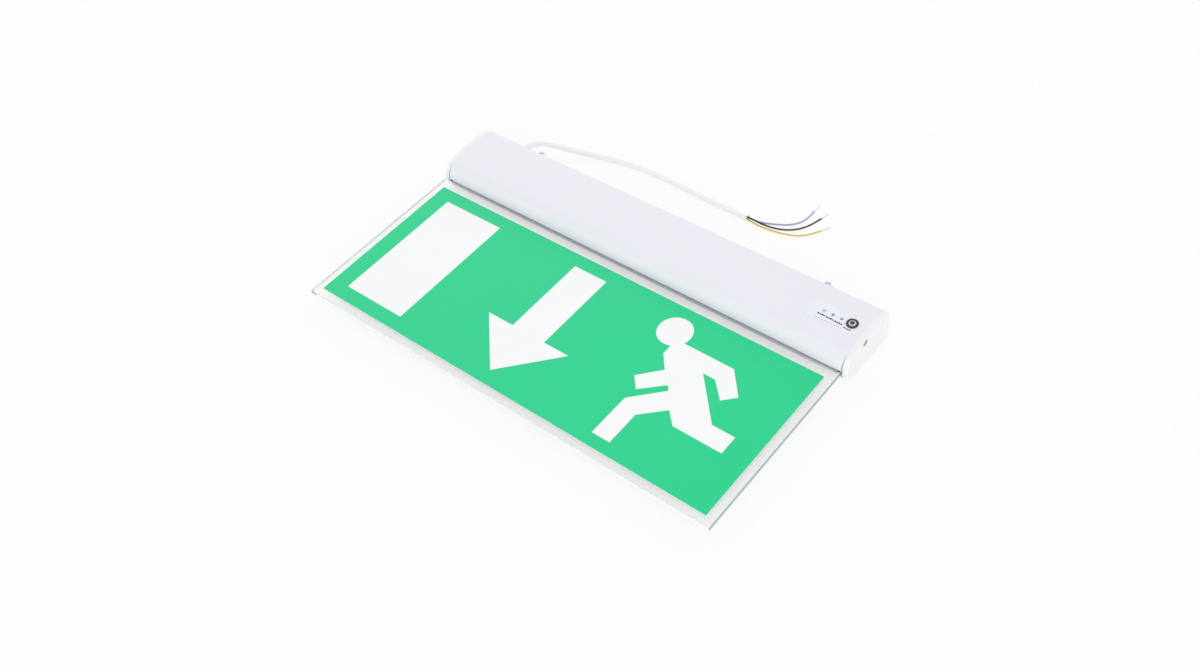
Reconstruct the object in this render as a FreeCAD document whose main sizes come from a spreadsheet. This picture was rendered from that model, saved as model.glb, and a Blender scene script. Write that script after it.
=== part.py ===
import FreeCAD, Part
import math
import os
import Sketcher

# Emergency exit light: an edge-lit acrylic blade with a running-figure legend, held in a slim extruded
# housing with moulded end caps. Millimetres. It lies on its flat back: +X runs to the test-button end,
# +Y from the blade to the mounting side, +Z out of the legend's face. The origin is under the middle.

Vector = FreeCAD.Vector
document = FreeCAD.newDocument("exit_light")

# ---------------------------------------------------------------------------------------------------
# Driving dimensions
# ---------------------------------------------------------------------------------------------------

DIMENSIONS = [
    ("overall_length", 356.0, "length over both end caps"),
    ("cap_thick", 4.0, "end cap's outer plate"),
    ("housing_high", 50.4, "housing from the lip to the mounting face"),
    ("housing_thick", 25.0, "housing from its flat back to the crown of its front"),
    ("front_radius", 102.0, "radius of the bowed front"),
    ("crown_up", 30.0, "height of the front's crown above the lip"),
    ("nose_radius", 11.5, "radius from the front down to the lip"),
    ("back_nose_radius", 22.0, "radius from the back down to the lip"),
    ("back_nose_up", 15.0, "where the flat back begins, above the lip"),
    ("wall", 1.5, "wall of the extrusion"),
    ("edge_round", 1.2, "rounding of the mounting side's long edges"),
    ("slot_deep", 12.0, "depth of the blade's slot"),
    ("blade_level", 9.1, "middle of the blade above the back"),
    ("blade_thick", 3.0, "acrylic sheet"),
    ("blade_short", 4.2, "how much narrower the blade is than the housing"),
    ("blade_offset", -2.5, "blade's middle from the housing's middle"),
    ("tongue_clear", 2.5, "gap between the tongue in the slot and each end cap"),
    ("tongue_deep", 9.7, "how far the blade goes into the slot"),
    ("shoulder_gap", 0.8, "blade's shoulder below the lip"),
    ("blade_bevel", 0.3, "broken edge of the sheet"),
    ("back_clear", 0.3, "gap between the blade's back and the slot"),
    ("gasket_thick", 0.8, "silicone strip that wedges the blade"),
    ("gasket_wide", 7.0, "width of the silicone strip"),
    ("gasket_up", 2.2, "silicone strip's edge above the lip"),
    ("legend_side", 6.4, "clear border at each side of the legend"),
    ("legend_high", 126.0, "legend's height"),
    ("legend_margin", 6.3, "clear border below the legend"),
    ("legend_gap", 8.8, "clear band between the legend and the lip"),
    ("film_thick", 0.15, "thickness of one film"),
    ("port_up", 21.0, "screw port's height above the lip"),
    ("port_sink", 3.5, "screw port's centre below the crown"),
    ("port_radius", 2.4, "screw port's outer radius"),
    ("port_bore", 1.25, "screw port's bore radius"),
    ("rib_wide", 1.2, "thickness of a card guide's rib"),
    ("rib_high", 2.0, "height of a card guide's rib"),
    ("guide_level", 6.9, "middle of the card guides above the back"),
    ("guide_gap", 2.0, "width of the card guides' groove"),
    ("clearance", 0.2, "clearance of pieces that are fitted by hand"),
    ("keyhole_in", 28.0, "keyhole from the housing's end"),
    ("keyhole_up", 28.0, "keyholes' height above the lip"),
    ("keyhole_radius", 4.0, "radius of a keyhole's entry"),
    ("keyhole_slot", 2.1, "radius of a keyhole's narrow end"),
    ("keyhole_rise", 8.0, "length of a keyhole's narrow slot"),
    ("eye_in", 50.0, "suspension eye from the housing's end"),
    ("eye_level", 14.5, "suspension eyes above the back"),
    ("eye_radius", 2.9, "radius of the eye to the middle of its wire"),
    ("eye_wire", 0.9, "radius of the eye's wire"),
    ("eye_rise", 5.2, "eye's centre above the mounting face"),
    ("eye_shank", 1.95, "radius of the eye's shank"),
    ("eye_collar", 3.2, "radius of the eye's collar"),
    ("collar_high", 1.2, "height of the eye's collar"),
    ("nut_across", 7.0, "eye nut across its flats"),
    ("nut_high", 3.2, "eye nut's height"),
    ("cap_rim_deep", 7.0, "end cap's tongues inside the housing"),
    ("cap_rim_thick", 1.6, "thickness of the end cap's tongues"),
    ("cap_round", 1.3, "rounding of the end cap's outer edge"),
    ("screw_radius", 1.1, "cap screw's shank radius"),
    ("screw_head", 2.0, "cap screw's head radius"),
    ("screw_head_high", 1.3, "cap screw's head height"),
    ("screw_long", 9.0, "cap screw's length under its head"),
    ("button_in", 13.6, "test button from the housing's end"),
    ("button_up", 27.6, "test button above the lip"),
    ("bezel_radius", 4.05, "test button's ring"),
    ("bezel_high", 0.7, "ring above the control label"),
    ("barrel_radius", 3.3, "test switch's barrel"),
    ("barrel_deep", 9.5, "test switch's barrel below the label"),
    ("button_radius", 2.55, "test button's cap"),
    ("button_deep", 4.0, "height of the test button's cap"),
    ("button_proud", 0.2, "test button above its ring"),
    ("button_travel", 1.2, "how far the test button can be pressed"),
    ("light_apart", 14.3, "middle indicator from the test button"),
    ("light_up", 27.6, "indicators above the lip"),
    ("light_pitch", 6.5, "distance between indicators"),
    ("light_radius", 0.9, "indicator's radius"),
    ("light_proud", 0.5, "indicator's dome above the label"),
    ("label_in", 7.3, "control label's edge from the housing's end"),
    ("label_wide", 38.2, "control label's width"),
    ("label_low", 19.4, "control label's lower edge above the lip"),
    ("label_high", 14.6, "control label's height"),
    ("label_thick", 0.2, "control label's thickness"),
    ("label_corner", 1.5, "control label's corner radius"),
    ("board_thick", 1.6, "circuit board"),
    ("strip_thick", 1.0, "lamp strip's board"),
    ("strip_clear", 6.0, "gap between the lamp strip and each end cap"),
    ("lamp_long", 3.5, "one surface lamp along the strip"),
    ("lamp_wide", 2.8, "one surface lamp across the strip"),
    ("lamp_thick", 0.7, "one surface lamp's height"),
    ("lamp_pitch", 14.0, "distance between surface lamps"),
    ("driver_in", 44.0, "driver board from the housing's flex end"),
    ("driver_long", 110.0, "driver board's length"),
    ("battery_in", 42.0, "battery from the housing's button end"),
    ("battery_gap", 9.0, "gap between the driver board and the three cells in line"),
    ("battery_radius", 7.25, "cell with its sleeve"),
    ("battery_up", 31.0, "battery's axis above the lip"),
    ("clip_wide", 12.0, "width of a battery clip"),
    ("clip_thick", 1.0, "thickness of a battery clip"),
    ("flex_in", 32.0, "flex entry from the housing's end"),
    ("flex_level", 14.0, "flex entry above the back"),
    ("flex_radius", 2.4, "round three-core flex"),
    ("core_radius", 0.65, "insulated core"),
    ("strand_radius", 0.4, "bared copper at a core's end"),
    ("strand_long", 7.0, "length of bared copper"),
    ("grommet_long", 2.4, "flex grommet outside the housing"),
    ("grommet_flange", 4.6, "flex grommet's radius at the housing"),
    ("grommet_tip", 3.6, "flex grommet's radius at its mouth"),
    ("grommet_neck", 3.2, "flex grommet's radius in the wall"),
    ("grommet_deep", 3.0, "flex grommet's locking collar inside the housing"),
    ("grommet_fit", 0.05, "gap between the flex and its grommet"),
]


class Size:
    """A length together with the spreadsheet formula that gives it."""

    def __init__(self, value, formula):
        self.value = value
        self.formula = formula

    def __add__(self, other):
        other = as_size(other)
        return Size(self.value + other.value, "(%s + %s)" % (self.formula, other.formula))

    def __sub__(self, other):
        other = as_size(other)
        return Size(self.value - other.value, "(%s - %s)" % (self.formula, other.formula))

    def __mul__(self, other):
        other = as_size(other)
        return Size(self.value * other.value, "(%s * %s)" % (self.formula, other.formula))

    def __truediv__(self, other):
        other = as_size(other)
        return Size(self.value / other.value, "(%s / %s)" % (self.formula, other.formula))

    def __neg__(self):
        return Size(-self.value, "(0 - %s)" % self.formula)

    def root(self):
        return Size(math.sqrt(self.value), "sqrt(%s)" % self.formula)


def as_size(number):
    """Turn a plain number into a Size whose formula is that number."""
    if isinstance(number, Size):
        return number
    return Size(float(number), repr(float(number)))


class SizeSheet:
    """The spreadsheet of driving dimensions; each alias is an attribute that holds a Size."""

    def __init__(self, rows):
        sheet = document.addObject("Spreadsheet::Sheet", "Sizes")
        for number, (alias, value, meaning) in enumerate(rows, start=1):
            sheet.set("A%d" % number, alias)
            sheet.set("B%d" % number, str(value))
            sheet.set("C%d" % number, meaning)
            sheet.setAlias("B%d" % number, alias)
            setattr(self, alias, Size(value, "Sizes.%s" % alias))
        document.recompute()


size = SizeSheet(DIMENSIONS)
ZERO = as_size(0.0)

# ---------------------------------------------------------------------------------------------------
# Places worked out from the driving dimensions
# ---------------------------------------------------------------------------------------------------

blade_shown = size.legend_margin + size.legend_high + size.legend_gap
eye_top = size.eye_rise + size.eye_radius + size.eye_wire
whole_reach = blade_shown + size.housing_high + eye_top
blade_foot = -whole_reach / 2
lip_y = blade_foot + blade_shown
mount_face_y = lip_y + size.housing_high
profile_long = size.overall_length - size.cap_thick * 2
profile_left = -profile_long / 2
housing_right = size.overall_length / 2
blade_wide = size.overall_length - size.blade_short
tongue_wide = profile_long - size.tongue_clear * 2
legend_wide = blade_wide - size.legend_side * 2
strip_long = profile_long - size.strip_clear * 2
keyhole_x = housing_right - size.keyhole_in
eye_x = housing_right - size.eye_in
button_x = housing_right - size.button_in
light_x = button_x - size.light_apart
label_left = housing_right - size.label_in - size.label_wide
driver_left = size.driver_in - housing_right
battery_left = driver_left + size.driver_long + size.battery_gap
battery_long = housing_right - size.battery_in - battery_left
flex_x = size.flex_in - housing_right
blade_back = size.blade_level - size.blade_thick / 2
blade_front = size.blade_level + size.blade_thick / 2
slot_back = blade_back - size.back_clear
slot_front = blade_front + size.gasket_thick
strip_wide = slot_front - slot_back - size.clearance * 2
port_level = size.housing_thick - size.port_sink
label_top = size.housing_thick + size.label_thick

# ---------------------------------------------------------------------------------------------------
# Drawing helpers
# ---------------------------------------------------------------------------------------------------

subparts = []


def bind(thing, prop, length):
    """Tie one property of a document object to its formula."""
    thing.setExpression(prop, length.formula)


def place(thing, label, x, y, z):
    """Give a finished sub-part its name and its bound place."""
    thing.Label = label
    bind(thing, "Placement.Base.x", as_size(x))
    bind(thing, "Placement.Base.y", as_size(y))
    bind(thing, "Placement.Base.z", as_size(z))
    subparts.append(thing)
    return thing


def new_body(name):
    return document.addObject("PartDesign::Body", name + "_body")


def new_sketch(body, role, name, offset=None):
    """Add a sketch on one of the body's own origin planes, lifted off it by offset."""
    plane = [feature for feature in body.Origin.OriginFeatures if feature.Role == role][0]
    sketch = body.newObject("Sketcher::SketchObject", name)
    sketch.AttachmentSupport = [(plane, "")]
    sketch.MapMode = "FlatFace"
    if offset is not None:
        bind(sketch, "AttachmentOffset.Base.z", as_size(offset))
    return sketch


def fix_point(sketch, edge, end, across, up):
    """Hold one end of a sketch edge at a bound place."""
    for kind, length in (("DistanceX", across), ("DistanceY", up)):
        number = sketch.addConstraint(Sketcher.Constraint(kind, edge, end, length.value))
        sketch.setExpression("Constraints[%d]" % number, length.formula)


def arc_through(first, last, centre, radius):
    """Arc from first to last round centre, the short way."""
    middle = (first + last) * 0.5 - centre
    middle.normalize()
    return Part.Arc(first, centre + middle * radius, last)


def draw_outline(sketch, corners, arcs=None):
    """Draw a closed outline. arcs maps the number of a side to its centre and radius."""
    arcs = arcs or {}
    corners = [(as_size(across), as_size(up)) for across, up in corners]
    points = [Vector(across.value, up.value, 0) for across, up in corners]
    for side in range(len(corners)):
        after = (side + 1) % len(corners)
        first, last = points[side], points[after]
        if side not in arcs:
            edge = sketch.addGeometry(Part.LineSegment(first, last), False)
            start_end, finish_end = 1, 2
        else:
            (centre_across, centre_up), radius = arcs[side]
            centre = Vector(centre_across.value, centre_up.value, 0)
            turns_left = (first - centre).cross(last - centre).z > 0
            start_end, finish_end = (1, 2) if turns_left else (2, 1)
            ends = (first, last) if turns_left else (last, first)
            arc = arc_through(ends[0], ends[1], centre, radius.value)
            edge = sketch.addGeometry(arc, False)
            number = sketch.addConstraint(Sketcher.Constraint("Radius", edge, radius.value))
            sketch.setExpression("Constraints[%d]" % number, radius.formula)
        fix_point(sketch, edge, start_end, *corners[side])
        fix_point(sketch, edge, finish_end, *corners[after])


def draw_box(sketch, left, low, wide, high):
    """Draw a rectangle from its lower left corner."""
    left, low = as_size(left), as_size(low)
    right, top = left + wide, low + high
    draw_outline(sketch, [(left, low), (right, low), (right, top), (left, top)])


def draw_circle(sketch, across, up, radius):
    """Draw a circle with a bound centre and radius."""
    across, up, radius = as_size(across), as_size(up), as_size(radius)
    shape = Part.Circle(Vector(across.value, up.value, 0), Vector(0, 0, 1), radius.value)
    edge = sketch.addGeometry(shape, False)
    fix_point(sketch, edge, 3, across, up)
    number = sketch.addConstraint(Sketcher.Constraint("Radius", edge, radius.value))
    sketch.setExpression("Constraints[%d]" % number, radius.formula)


def pad(body, sketch, name, length, backwards=False):
    """Pad a sketch by a bound length."""
    feature = body.newObject("PartDesign::Pad", name)
    feature.Profile = sketch
    feature.Reversed = backwards
    bind(feature, "Length", as_size(length))
    document.recompute()
    return feature


def pocket(body, sketch, name, length, backwards=False):
    """Cut a sketch into the body by a bound length and make sure that it removed something."""
    before = body.Shape.Volume
    feature = body.newObject("PartDesign::Pocket", name)
    feature.Profile = sketch
    feature.Reversed = backwards
    bind(feature, "Length", as_size(length))
    document.recompute()
    if body.Shape.Volume >= before - 1e-6:
        raise RuntimeError("%s cuts nothing" % name)
    return feature


def revolve(body, sketch, name):
    """Turn a sketch on the XZ plane once about the Z axis."""
    axis = [feature for feature in body.Origin.OriginFeatures if feature.Role == "Z_Axis"][0]
    feature = body.newObject("PartDesign::Revolution", name)
    feature.Profile = sketch
    feature.ReferenceAxis = (axis, [""])
    feature.Angle = 360.0
    document.recompute()
    return feature


def edges_where(shape, wanted):
    """Names of the edges whose middle point passes a test."""
    names = []
    for number, edge in enumerate(shape.Edges, start=1):
        middle = edge.valueAt((edge.FirstParameter + edge.LastParameter) / 2)
        if wanted(edge, middle):
            names.append("Edge%d" % number)
    if not names:
        raise RuntimeError("no edge passes the test")
    return names


def round_edges(body, base, name, names, radius):
    """Round named edges of a body's last feature."""
    feature = body.newObject("PartDesign::Fillet", name)
    feature.Base = (base, names)
    bind(feature, "Radius", as_size(radius))
    document.recompute()
    return feature


def near(first, second, within=0.01):
    return abs(first - second) < within


def cylinder(name, radius, height, x=0, y=0, z=0, axis="z"):
    """A Part cylinder that starts at x, y, z and runs along +X, +Y or +Z."""
    thing = document.addObject("Part::Cylinder", name)
    bind(thing, "Radius", as_size(radius))
    bind(thing, "Height", as_size(height))
    turns = {"z": (Vector(0, 0, 1), 0), "x": (Vector(0, 1, 0), 90), "y": (Vector(1, 0, 0), -90)}
    thing.Placement.Rotation = FreeCAD.Rotation(*turns[axis])
    for letter, length in (("x", x), ("y", y), ("z", z)):
        bind(thing, "Placement.Base." + letter, as_size(length))
    return thing


def block(name, long, deep, high, x=0, y=0, z=0):
    """A Part box from its lowest corner."""
    thing = document.addObject("Part::Box", name)
    for prop, length in (("Length", long), ("Width", deep), ("Height", high)):
        bind(thing, prop, as_size(length))
    for letter, length in (("x", x), ("y", y), ("z", z)):
        bind(thing, "Placement.Base." + letter, as_size(length))
    return thing


def fuse(name, things):
    """Join Part objects into one."""
    joined = document.addObject("Part::MultiFuse", name)
    joined.Shapes = things
    joined.Refine = True
    return joined


def cut(name, base, tool):
    """Take one Part object out of another."""
    result = document.addObject("Part::Cut", name)
    result.Base = base
    result.Tool = tool
    return result


def group(name, things):
    """Keep like pieces as separate solids of one node."""
    result = document.addObject("Part::Compound", name)
    result.Links = things
    return result


# ---------------------------------------------------------------------------------------------------
# The housing's section: up from the lip (across the sketch) and out from the back (up the sketch)
# ---------------------------------------------------------------------------------------------------


class Section:
    """Corners and arc centres of the housing's section, drawn in everywhere by inset."""

    def __init__(self, inset):
        self.inset = as_size(inset)
        between = size.front_radius - size.nose_radius
        drop = size.crown_up - size.nose_radius
        rise = (between * between - drop * drop).root()
        self.crown_centre = (size.crown_up, size.housing_thick - size.front_radius)
        self.crown_radius = size.front_radius - self.inset
        self.nose_centre = (size.nose_radius, self.crown_centre[1] + rise)
        self.nose_radius = size.nose_radius - self.inset
        self.back_centre = (size.back_nose_up, size.back_nose_radius)
        self.back_radius = size.back_nose_radius - self.inset
        self.joint = (
            size.crown_up - drop * self.crown_radius / between,
            self.crown_centre[1] + rise * self.crown_radius / between,
        )
        self.top_up = size.housing_high - self.inset
        self.top_front = (self.top_up, self.front_at(self.top_up))
        self.top_back = (self.top_up, self.inset)
        self.back_start = (size.back_nose_up, self.inset)

    def front_at(self, up):
        """How far out the bowed front is at a height above the lip."""
        away = as_size(up) - self.crown_centre[0]
        return self.crown_centre[1] + (self.crown_radius * self.crown_radius - away * away).root()

    def nose_at(self, out):
        """Height above the lip of the front nose at a distance out from the back."""
        away = self.nose_centre[1] - out
        return self.nose_centre[0] - (self.nose_radius * self.nose_radius - away * away).root()

    def back_nose_at(self, out):
        """Height above the lip of the back nose at a distance out from the back."""
        away = self.back_centre[1] - out
        return self.back_centre[0] - (self.back_radius * self.back_radius - away * away).root()

    def back_lip(self):
        """Where the back nose reaches the lip."""
        square = self.back_radius * self.back_radius - size.back_nose_up * size.back_nose_up
        return self.back_centre[1] - square.root()

    def corners_above_lip(self):
        return [self.joint, self.top_front, self.top_back, self.back_start]

    def arcs_from(self, first):
        """Arcs of the nose, the crown and the back nose, where the nose is side number first."""
        return {
            first: (self.nose_centre, self.nose_radius),
            first + 1: (self.crown_centre, self.crown_radius),
            first + 4: (self.back_centre, self.back_radius),
        }


outer = Section(ZERO)
inner = Section(size.wall)


def draw_whole_section(sketch, with_slot):
    """The housing's outer outline, open at the blade's slot or closed as on the caps."""
    slot = []
    if with_slot:
        slot = [
            (ZERO, slot_back),
            (size.slot_deep, slot_back),
            (size.slot_deep, slot_front),
            (ZERO, slot_front),
        ]
    corners = [(ZERO, outer.back_lip())] + slot + [(ZERO, outer.nose_centre[1])]
    first = len(corners) - 1
    draw_outline(sketch, corners + outer.corners_above_lip(), outer.arcs_from(first))


def draw_cavity(sketch):
    """The space inside the extrusion, one wall in from the outline and round the blade's slot."""
    back_rib = slot_back - size.wall
    front_rib = slot_front + size.wall
    web = size.slot_deep + size.wall
    corners = [
        (inner.back_nose_at(back_rib), back_rib),
        (web, back_rib),
        (web, front_rib),
        (inner.nose_at(front_rib), front_rib),
    ]
    draw_outline(sketch, corners + inner.corners_above_lip(), inner.arcs_from(3))


# ---------------------------------------------------------------------------------------------------
# Housing
# ---------------------------------------------------------------------------------------------------


def round_mounting_edges(body, base, name):
    """Round the two long edges of the mounting side."""
    def wanted(edge, middle):
        along = edge.tangentAt(edge.FirstParameter)
        return near(abs(along.x), 1.0) and near(middle.y, size.housing_high.value)
    return round_edges(body, base, name, edges_where(base.Shape, wanted), size.edge_round)


def make_housing():
    """Extruded section with a blade slot, a screw port and card guides, then the drilled holes."""
    body = new_body("housing_profile")
    sketch = new_sketch(body, "YZ_Plane", "housing_outline")
    draw_whole_section(sketch, with_slot=True)
    extrusion = pad(body, sketch, "housing_extrusion", profile_long)
    round_mounting_edges(body, extrusion, "housing_edges")

    sketch = new_sketch(body, "YZ_Plane", "housing_cavity_outline")
    draw_cavity(sketch)
    pocket(body, sketch, "housing_cavity", profile_long, backwards=True)

    sketch = new_sketch(body, "YZ_Plane", "screw_port_outline")
    draw_circle(sketch, size.port_up, port_level, size.port_radius)
    draw_circle(sketch, size.port_up, port_level, size.port_bore)
    pad(body, sketch, "screw_port", profile_long)

    sketch = new_sketch(body, "YZ_Plane", "card_guide_outline")
    web = size.slot_deep + size.wall
    ceiling = size.housing_high - size.wall
    overlap = size.wall / 2
    for side in (-1, 1):
        middle = size.guide_level + (size.guide_gap + size.rib_wide) / 2 * side
        low = middle - size.rib_wide / 2
        draw_box(sketch, web - overlap, low, size.rib_high + overlap, size.rib_wide)
        draw_box(sketch, ceiling - size.rib_high, low, size.rib_high + overlap, size.rib_wide)
    pad(body, sketch, "card_guides", profile_long)

    sketch = new_sketch(body, "XY_Plane", "keyhole_outline")
    for side in (-1, 1):
        draw_keyhole(sketch, profile_long / 2 + keyhole_x * side)
    pocket(body, sketch, "keyholes", size.wall * 2, backwards=True)

    drilled = new_sketch(body, "XZ_Plane", "mounting_face_holes", -size.housing_high)
    for side in (-1, 1):
        draw_circle(drilled, profile_long / 2 + eye_x * side, size.eye_level,
                    size.eye_shank + size.clearance)
    draw_circle(drilled, flex_x - profile_left, size.flex_level, size.grommet_neck + size.clearance)
    pocket(body, drilled, "mounting_face_drilling", size.wall * 2, backwards=True)

    drilled = new_sketch(body, "XY_Plane", "front_holes", size.housing_thick)
    draw_circle(drilled, button_x - profile_left, size.button_up,
                size.barrel_radius + size.clearance)
    for number in (-1, 0, 1):
        draw_circle(drilled, light_x + size.light_pitch * number - profile_left, size.light_up,
                    size.light_radius + size.clearance)
    pocket(body, drilled, "front_drilling", size.wall * 2)
    place(body, "housing_profile", profile_left, lip_y, 0)


def draw_keyhole(sketch, across):
    """Round entry with a narrow slot above it that ends in a half circle."""
    entry, slot = size.keyhole_radius, size.keyhole_slot
    reach = (entry * entry - slot * slot).root()
    low = size.keyhole_up
    high = low + size.keyhole_rise
    entry_centre, slot_centre = (across, low), (across, high)
    corners = [
        (across + slot, low + reach),
        (across + slot, high),
        (across, high + slot),
        (across - slot, high),
        (across - slot, low + reach),
        (across, low - entry),
    ]
    arcs = {1: (slot_centre, slot), 2: (slot_centre, slot)}
    arcs.update({4: (entry_centre, entry), 5: (entry_centre, entry)})
    draw_outline(sketch, corners, arcs)


def make_end_cap(label, side):
    """Moulded plate that follows the section, with three tongues that enter the housing."""
    body = new_body(label)
    sketch = new_sketch(body, "YZ_Plane", label + "_outline")
    draw_whole_section(sketch, with_slot=False)
    left_side = side < 0
    plate = pad(body, sketch, label + "_plate", size.cap_thick, backwards=left_side)
    base = round_mounting_edges(body, plate, label + "_edges")

    def lip_corner(edge, middle):
        along = edge.tangentAt(edge.FirstParameter)
        return near(abs(along.x), 1.0) and near(middle.y, 0) and near(middle.z, outer.back_lip().value)
    base = round_edges(body, base, label + "_lip", edges_where(base.Shape, lip_corner),
                       size.edge_round)

    def outside(edge, middle):
        return near(abs(middle.x), size.cap_thick.value)
    round_edges(body, base, label + "_rim", edges_where(base.Shape, outside), size.cap_round)

    sketch = new_sketch(body, "YZ_Plane", label + "_tongue_outline")
    fit = size.wall + size.clearance
    web = size.slot_deep + fit
    thick = size.cap_rim_thick
    guide_top = size.guide_level + size.guide_gap / 2 + size.rib_wide
    free = guide_top + size.clearance * 3
    draw_box(sketch, web + size.rib_high * 2, fit, size.housing_high / 2, thick)
    draw_box(sketch, size.housing_high - fit - thick, free, thick, size.housing_thick / 3)
    draw_box(sketch, web, free, thick, slot_front + size.wall - free)
    pad(body, sketch, label + "_tongues", size.cap_rim_deep, backwards=not left_side)

    sketch = new_sketch(body, "YZ_Plane", label + "_hole_outline")
    draw_circle(sketch, size.port_up, port_level, size.screw_radius + size.clearance)
    pocket(body, sketch, label + "_hole", size.cap_thick, backwards=not left_side)

    seat = size.cap_thick - size.screw_head_high
    sketch = new_sketch(body, "YZ_Plane", label + "_counterbore_outline", seat * side)
    draw_circle(sketch, size.port_up, port_level, size.screw_head + size.clearance)
    pocket(body, sketch, label + "_counterbore", size.cap_thick, backwards=not left_side)
    place(body, label, profile_long / 2 * side, lip_y, 0)


def make_cap_screw(label, side):
    """Self-tapping screw with a cross recess along X, its head sunk flush in one end cap."""
    outward = profile_long / 2 + size.cap_thick
    seat = outward - size.screw_head_high
    along = seat - size.screw_long if side > 0 else -seat
    shank = cylinder(label + "_shank", size.screw_radius, size.screw_long, along, axis="x")
    head_at = seat if side > 0 else -outward
    head = cylinder(label + "_blank", size.screw_head, size.screw_head_high, head_at, axis="x")
    rounded = document.addObject("Part::Fillet", label + "_domed")
    document.recompute()
    face_x = outward.value * side
    rounded.Base = head
    rounded.Edges = [
        (number, size.screw_head_high.value * 0.55, size.screw_head_high.value * 0.55)
        for number, edge in enumerate(head.Shape.Edges, start=1)
        if edge.Closed and near(edge.BoundBox.Center.x, face_x)
    ]
    slot_wide, slot_long = size.screw_head / 4, size.screw_head * 1.1
    slot_deep = size.screw_head_high * 0.7
    slot_x = outward - slot_deep if side > 0 else -outward
    level = block(label + "_recess_level", slot_deep, slot_long, slot_wide,
                  slot_x, -slot_long / 2, -slot_wide / 2)
    upright = block(label + "_recess_upright", slot_deep, slot_wide, slot_long,
                    slot_x, -slot_wide / 2, -slot_long / 2)
    recess = fuse(label + "_recess", [level, upright])
    solid = fuse(label + "_solid", [shank, cut(label + "_head", rounded, recess)])
    place(solid, label, 0, lip_y + size.port_up, port_level)


# ---------------------------------------------------------------------------------------------------
# Blade, legend and the lamps that light its edge
# ---------------------------------------------------------------------------------------------------


def make_blade():
    """Clear sheet with square corners and a narrower tongue that enters the slot."""
    body = new_body("blade")
    sketch = new_sketch(body, "XY_Plane", "blade_outline")
    half = blade_wide / 2
    left = size.blade_offset - half
    right = size.blade_offset + half
    shoulder = blade_shown - size.shoulder_gap
    tip = blade_shown + size.tongue_deep
    tongue = tongue_wide / 2
    draw_outline(sketch, [
        (left, ZERO), (right, ZERO), (right, shoulder), (tongue, shoulder),
        (tongue, tip), (-tongue, tip), (-tongue, shoulder), (left, shoulder),
    ])
    sheet = pad(body, sketch, "blade_sheet", size.blade_thick)

    def long_edge(edge, middle):
        flat = near(middle.z, 0) or near(middle.z, size.blade_thick.value)
        return flat and middle.y < shoulder.value - 1
    bevel = body.newObject("PartDesign::Chamfer", "blade_bevel")
    bevel.Base = (sheet, edges_where(sheet.Shape, long_edge))
    bind(bevel, "Size", size.blade_bevel)
    document.recompute()
    place(body, "blade", 0, blade_foot, blade_back)


def make_gasket():
    """Silicone strip that wedges the blade against the back of its slot."""
    strip = block("gasket_strip", tongue_wide, size.gasket_wide, size.gasket_thick)
    place(strip, "blade_gasket", -tongue_wide / 2, lip_y + size.gasket_up, blade_front)


# Outlines of the pictogram from the legend's lower left corner: across as shares of its width over the
# width-to-height share, and up as shares of its height.
DOOR_SHARES = [(0.112, 0.09), (0.542, 0.09), (0.542, 0.918), (0.112, 0.918)]
ARROW_SHARES = [
    (1.116, 0.918), (1.116, 0.39), (0.94, 0.39), (1.228, 0.086),
    (1.516, 0.39), (1.344, 0.39), (1.344, 0.918),
]
RUNNER_SHARES = [
    (1.90, 0.80), (1.973, 0.793), (2.287, 0.793), (2.413, 0.653), (2.347, 0.587), (2.247, 0.683),
    (2.173, 0.683), (2.403, 0.443), (2.543, 0.443), (2.543, 0.327), (2.247, 0.327), (2.173, 0.397),
    (2.05, 0.28), (2.05, 0.073), (1.935, 0.073), (1.937, 0.337), (2.093, 0.495), (2.07, 0.522),
    (1.95, 0.41), (1.885, 0.48), (1.993, 0.595), (1.92, 0.679), (1.92, 0.727),
]
HEAD_SHARES = [(1.88, 0.833)]
HEAD_SHARE = 0.1
WIDTH_SHARE = 2.6905


def make_legend():
    """White film over the whole legend and a green film with the pictogram cut out of it."""
    left = size.blade_offset - legend_wide / 2
    low = blade_foot + size.legend_margin
    white = block("white_film_sheet", legend_wide, size.legend_high, size.film_thick)
    place(white, "legend_white_film", left, low, blade_front)

    body = new_body("legend_green_film")
    sketch = new_sketch(body, "XY_Plane", "green_film_outline")
    draw_box(sketch, ZERO, ZERO, legend_wide, size.legend_high)
    for shape in (DOOR_SHARES, ARROW_SHARES):
        draw_outline(sketch, shares_of_legend(shape))
    pad(body, sketch, "green_film_sheet", size.film_thick)
    sketch = new_sketch(body, "XY_Plane", "runner_outline")
    draw_outline(sketch, shares_of_legend(RUNNER_SHARES))
    pocket(body, sketch, "runner", size.film_thick, backwards=True)
    sketch = new_sketch(body, "XY_Plane", "runner_head_outline")
    head = shares_of_legend(HEAD_SHARES)[0]
    draw_circle(sketch, head[0], head[1], size.legend_high * HEAD_SHARE)
    pocket(body, sketch, "runner_head", size.film_thick, backwards=True)
    place(body, "legend_green_film", left, low, blade_front + size.film_thick)


def shares_of_legend(points):
    unit = legend_wide / WIDTH_SHARE
    return [(unit * across, size.legend_high * up) for across, up in points]


def make_lamp_strip():
    """Board on the slot's floor with a row of surface lamps that face the blade's edge."""
    middle = (slot_back + slot_front) / 2
    board_y = lip_y + size.slot_deep - size.strip_thick
    board = block("lamp_strip_blank", strip_long, size.strip_thick, strip_wide)
    place(board, "lamp_strip_board", -strip_long / 2, board_y, middle - strip_wide / 2)

    count = int((strip_long.value - size.lamp_long.value) / size.lamp_pitch.value)
    lamps = []
    for number in range(count + 1):
        along = size.lamp_pitch * (number - count / 2) - size.lamp_long / 2
        lamps.append(block("lamp_%d" % number, size.lamp_long, size.lamp_thick, size.lamp_wide, along))
    place(group("lamp_row", lamps), "lamp_strip_lamps", 0, board_y - size.lamp_thick,
          middle - size.lamp_wide / 2)


# ---------------------------------------------------------------------------------------------------
# Test button, indicators and their label
# ---------------------------------------------------------------------------------------------------


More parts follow.
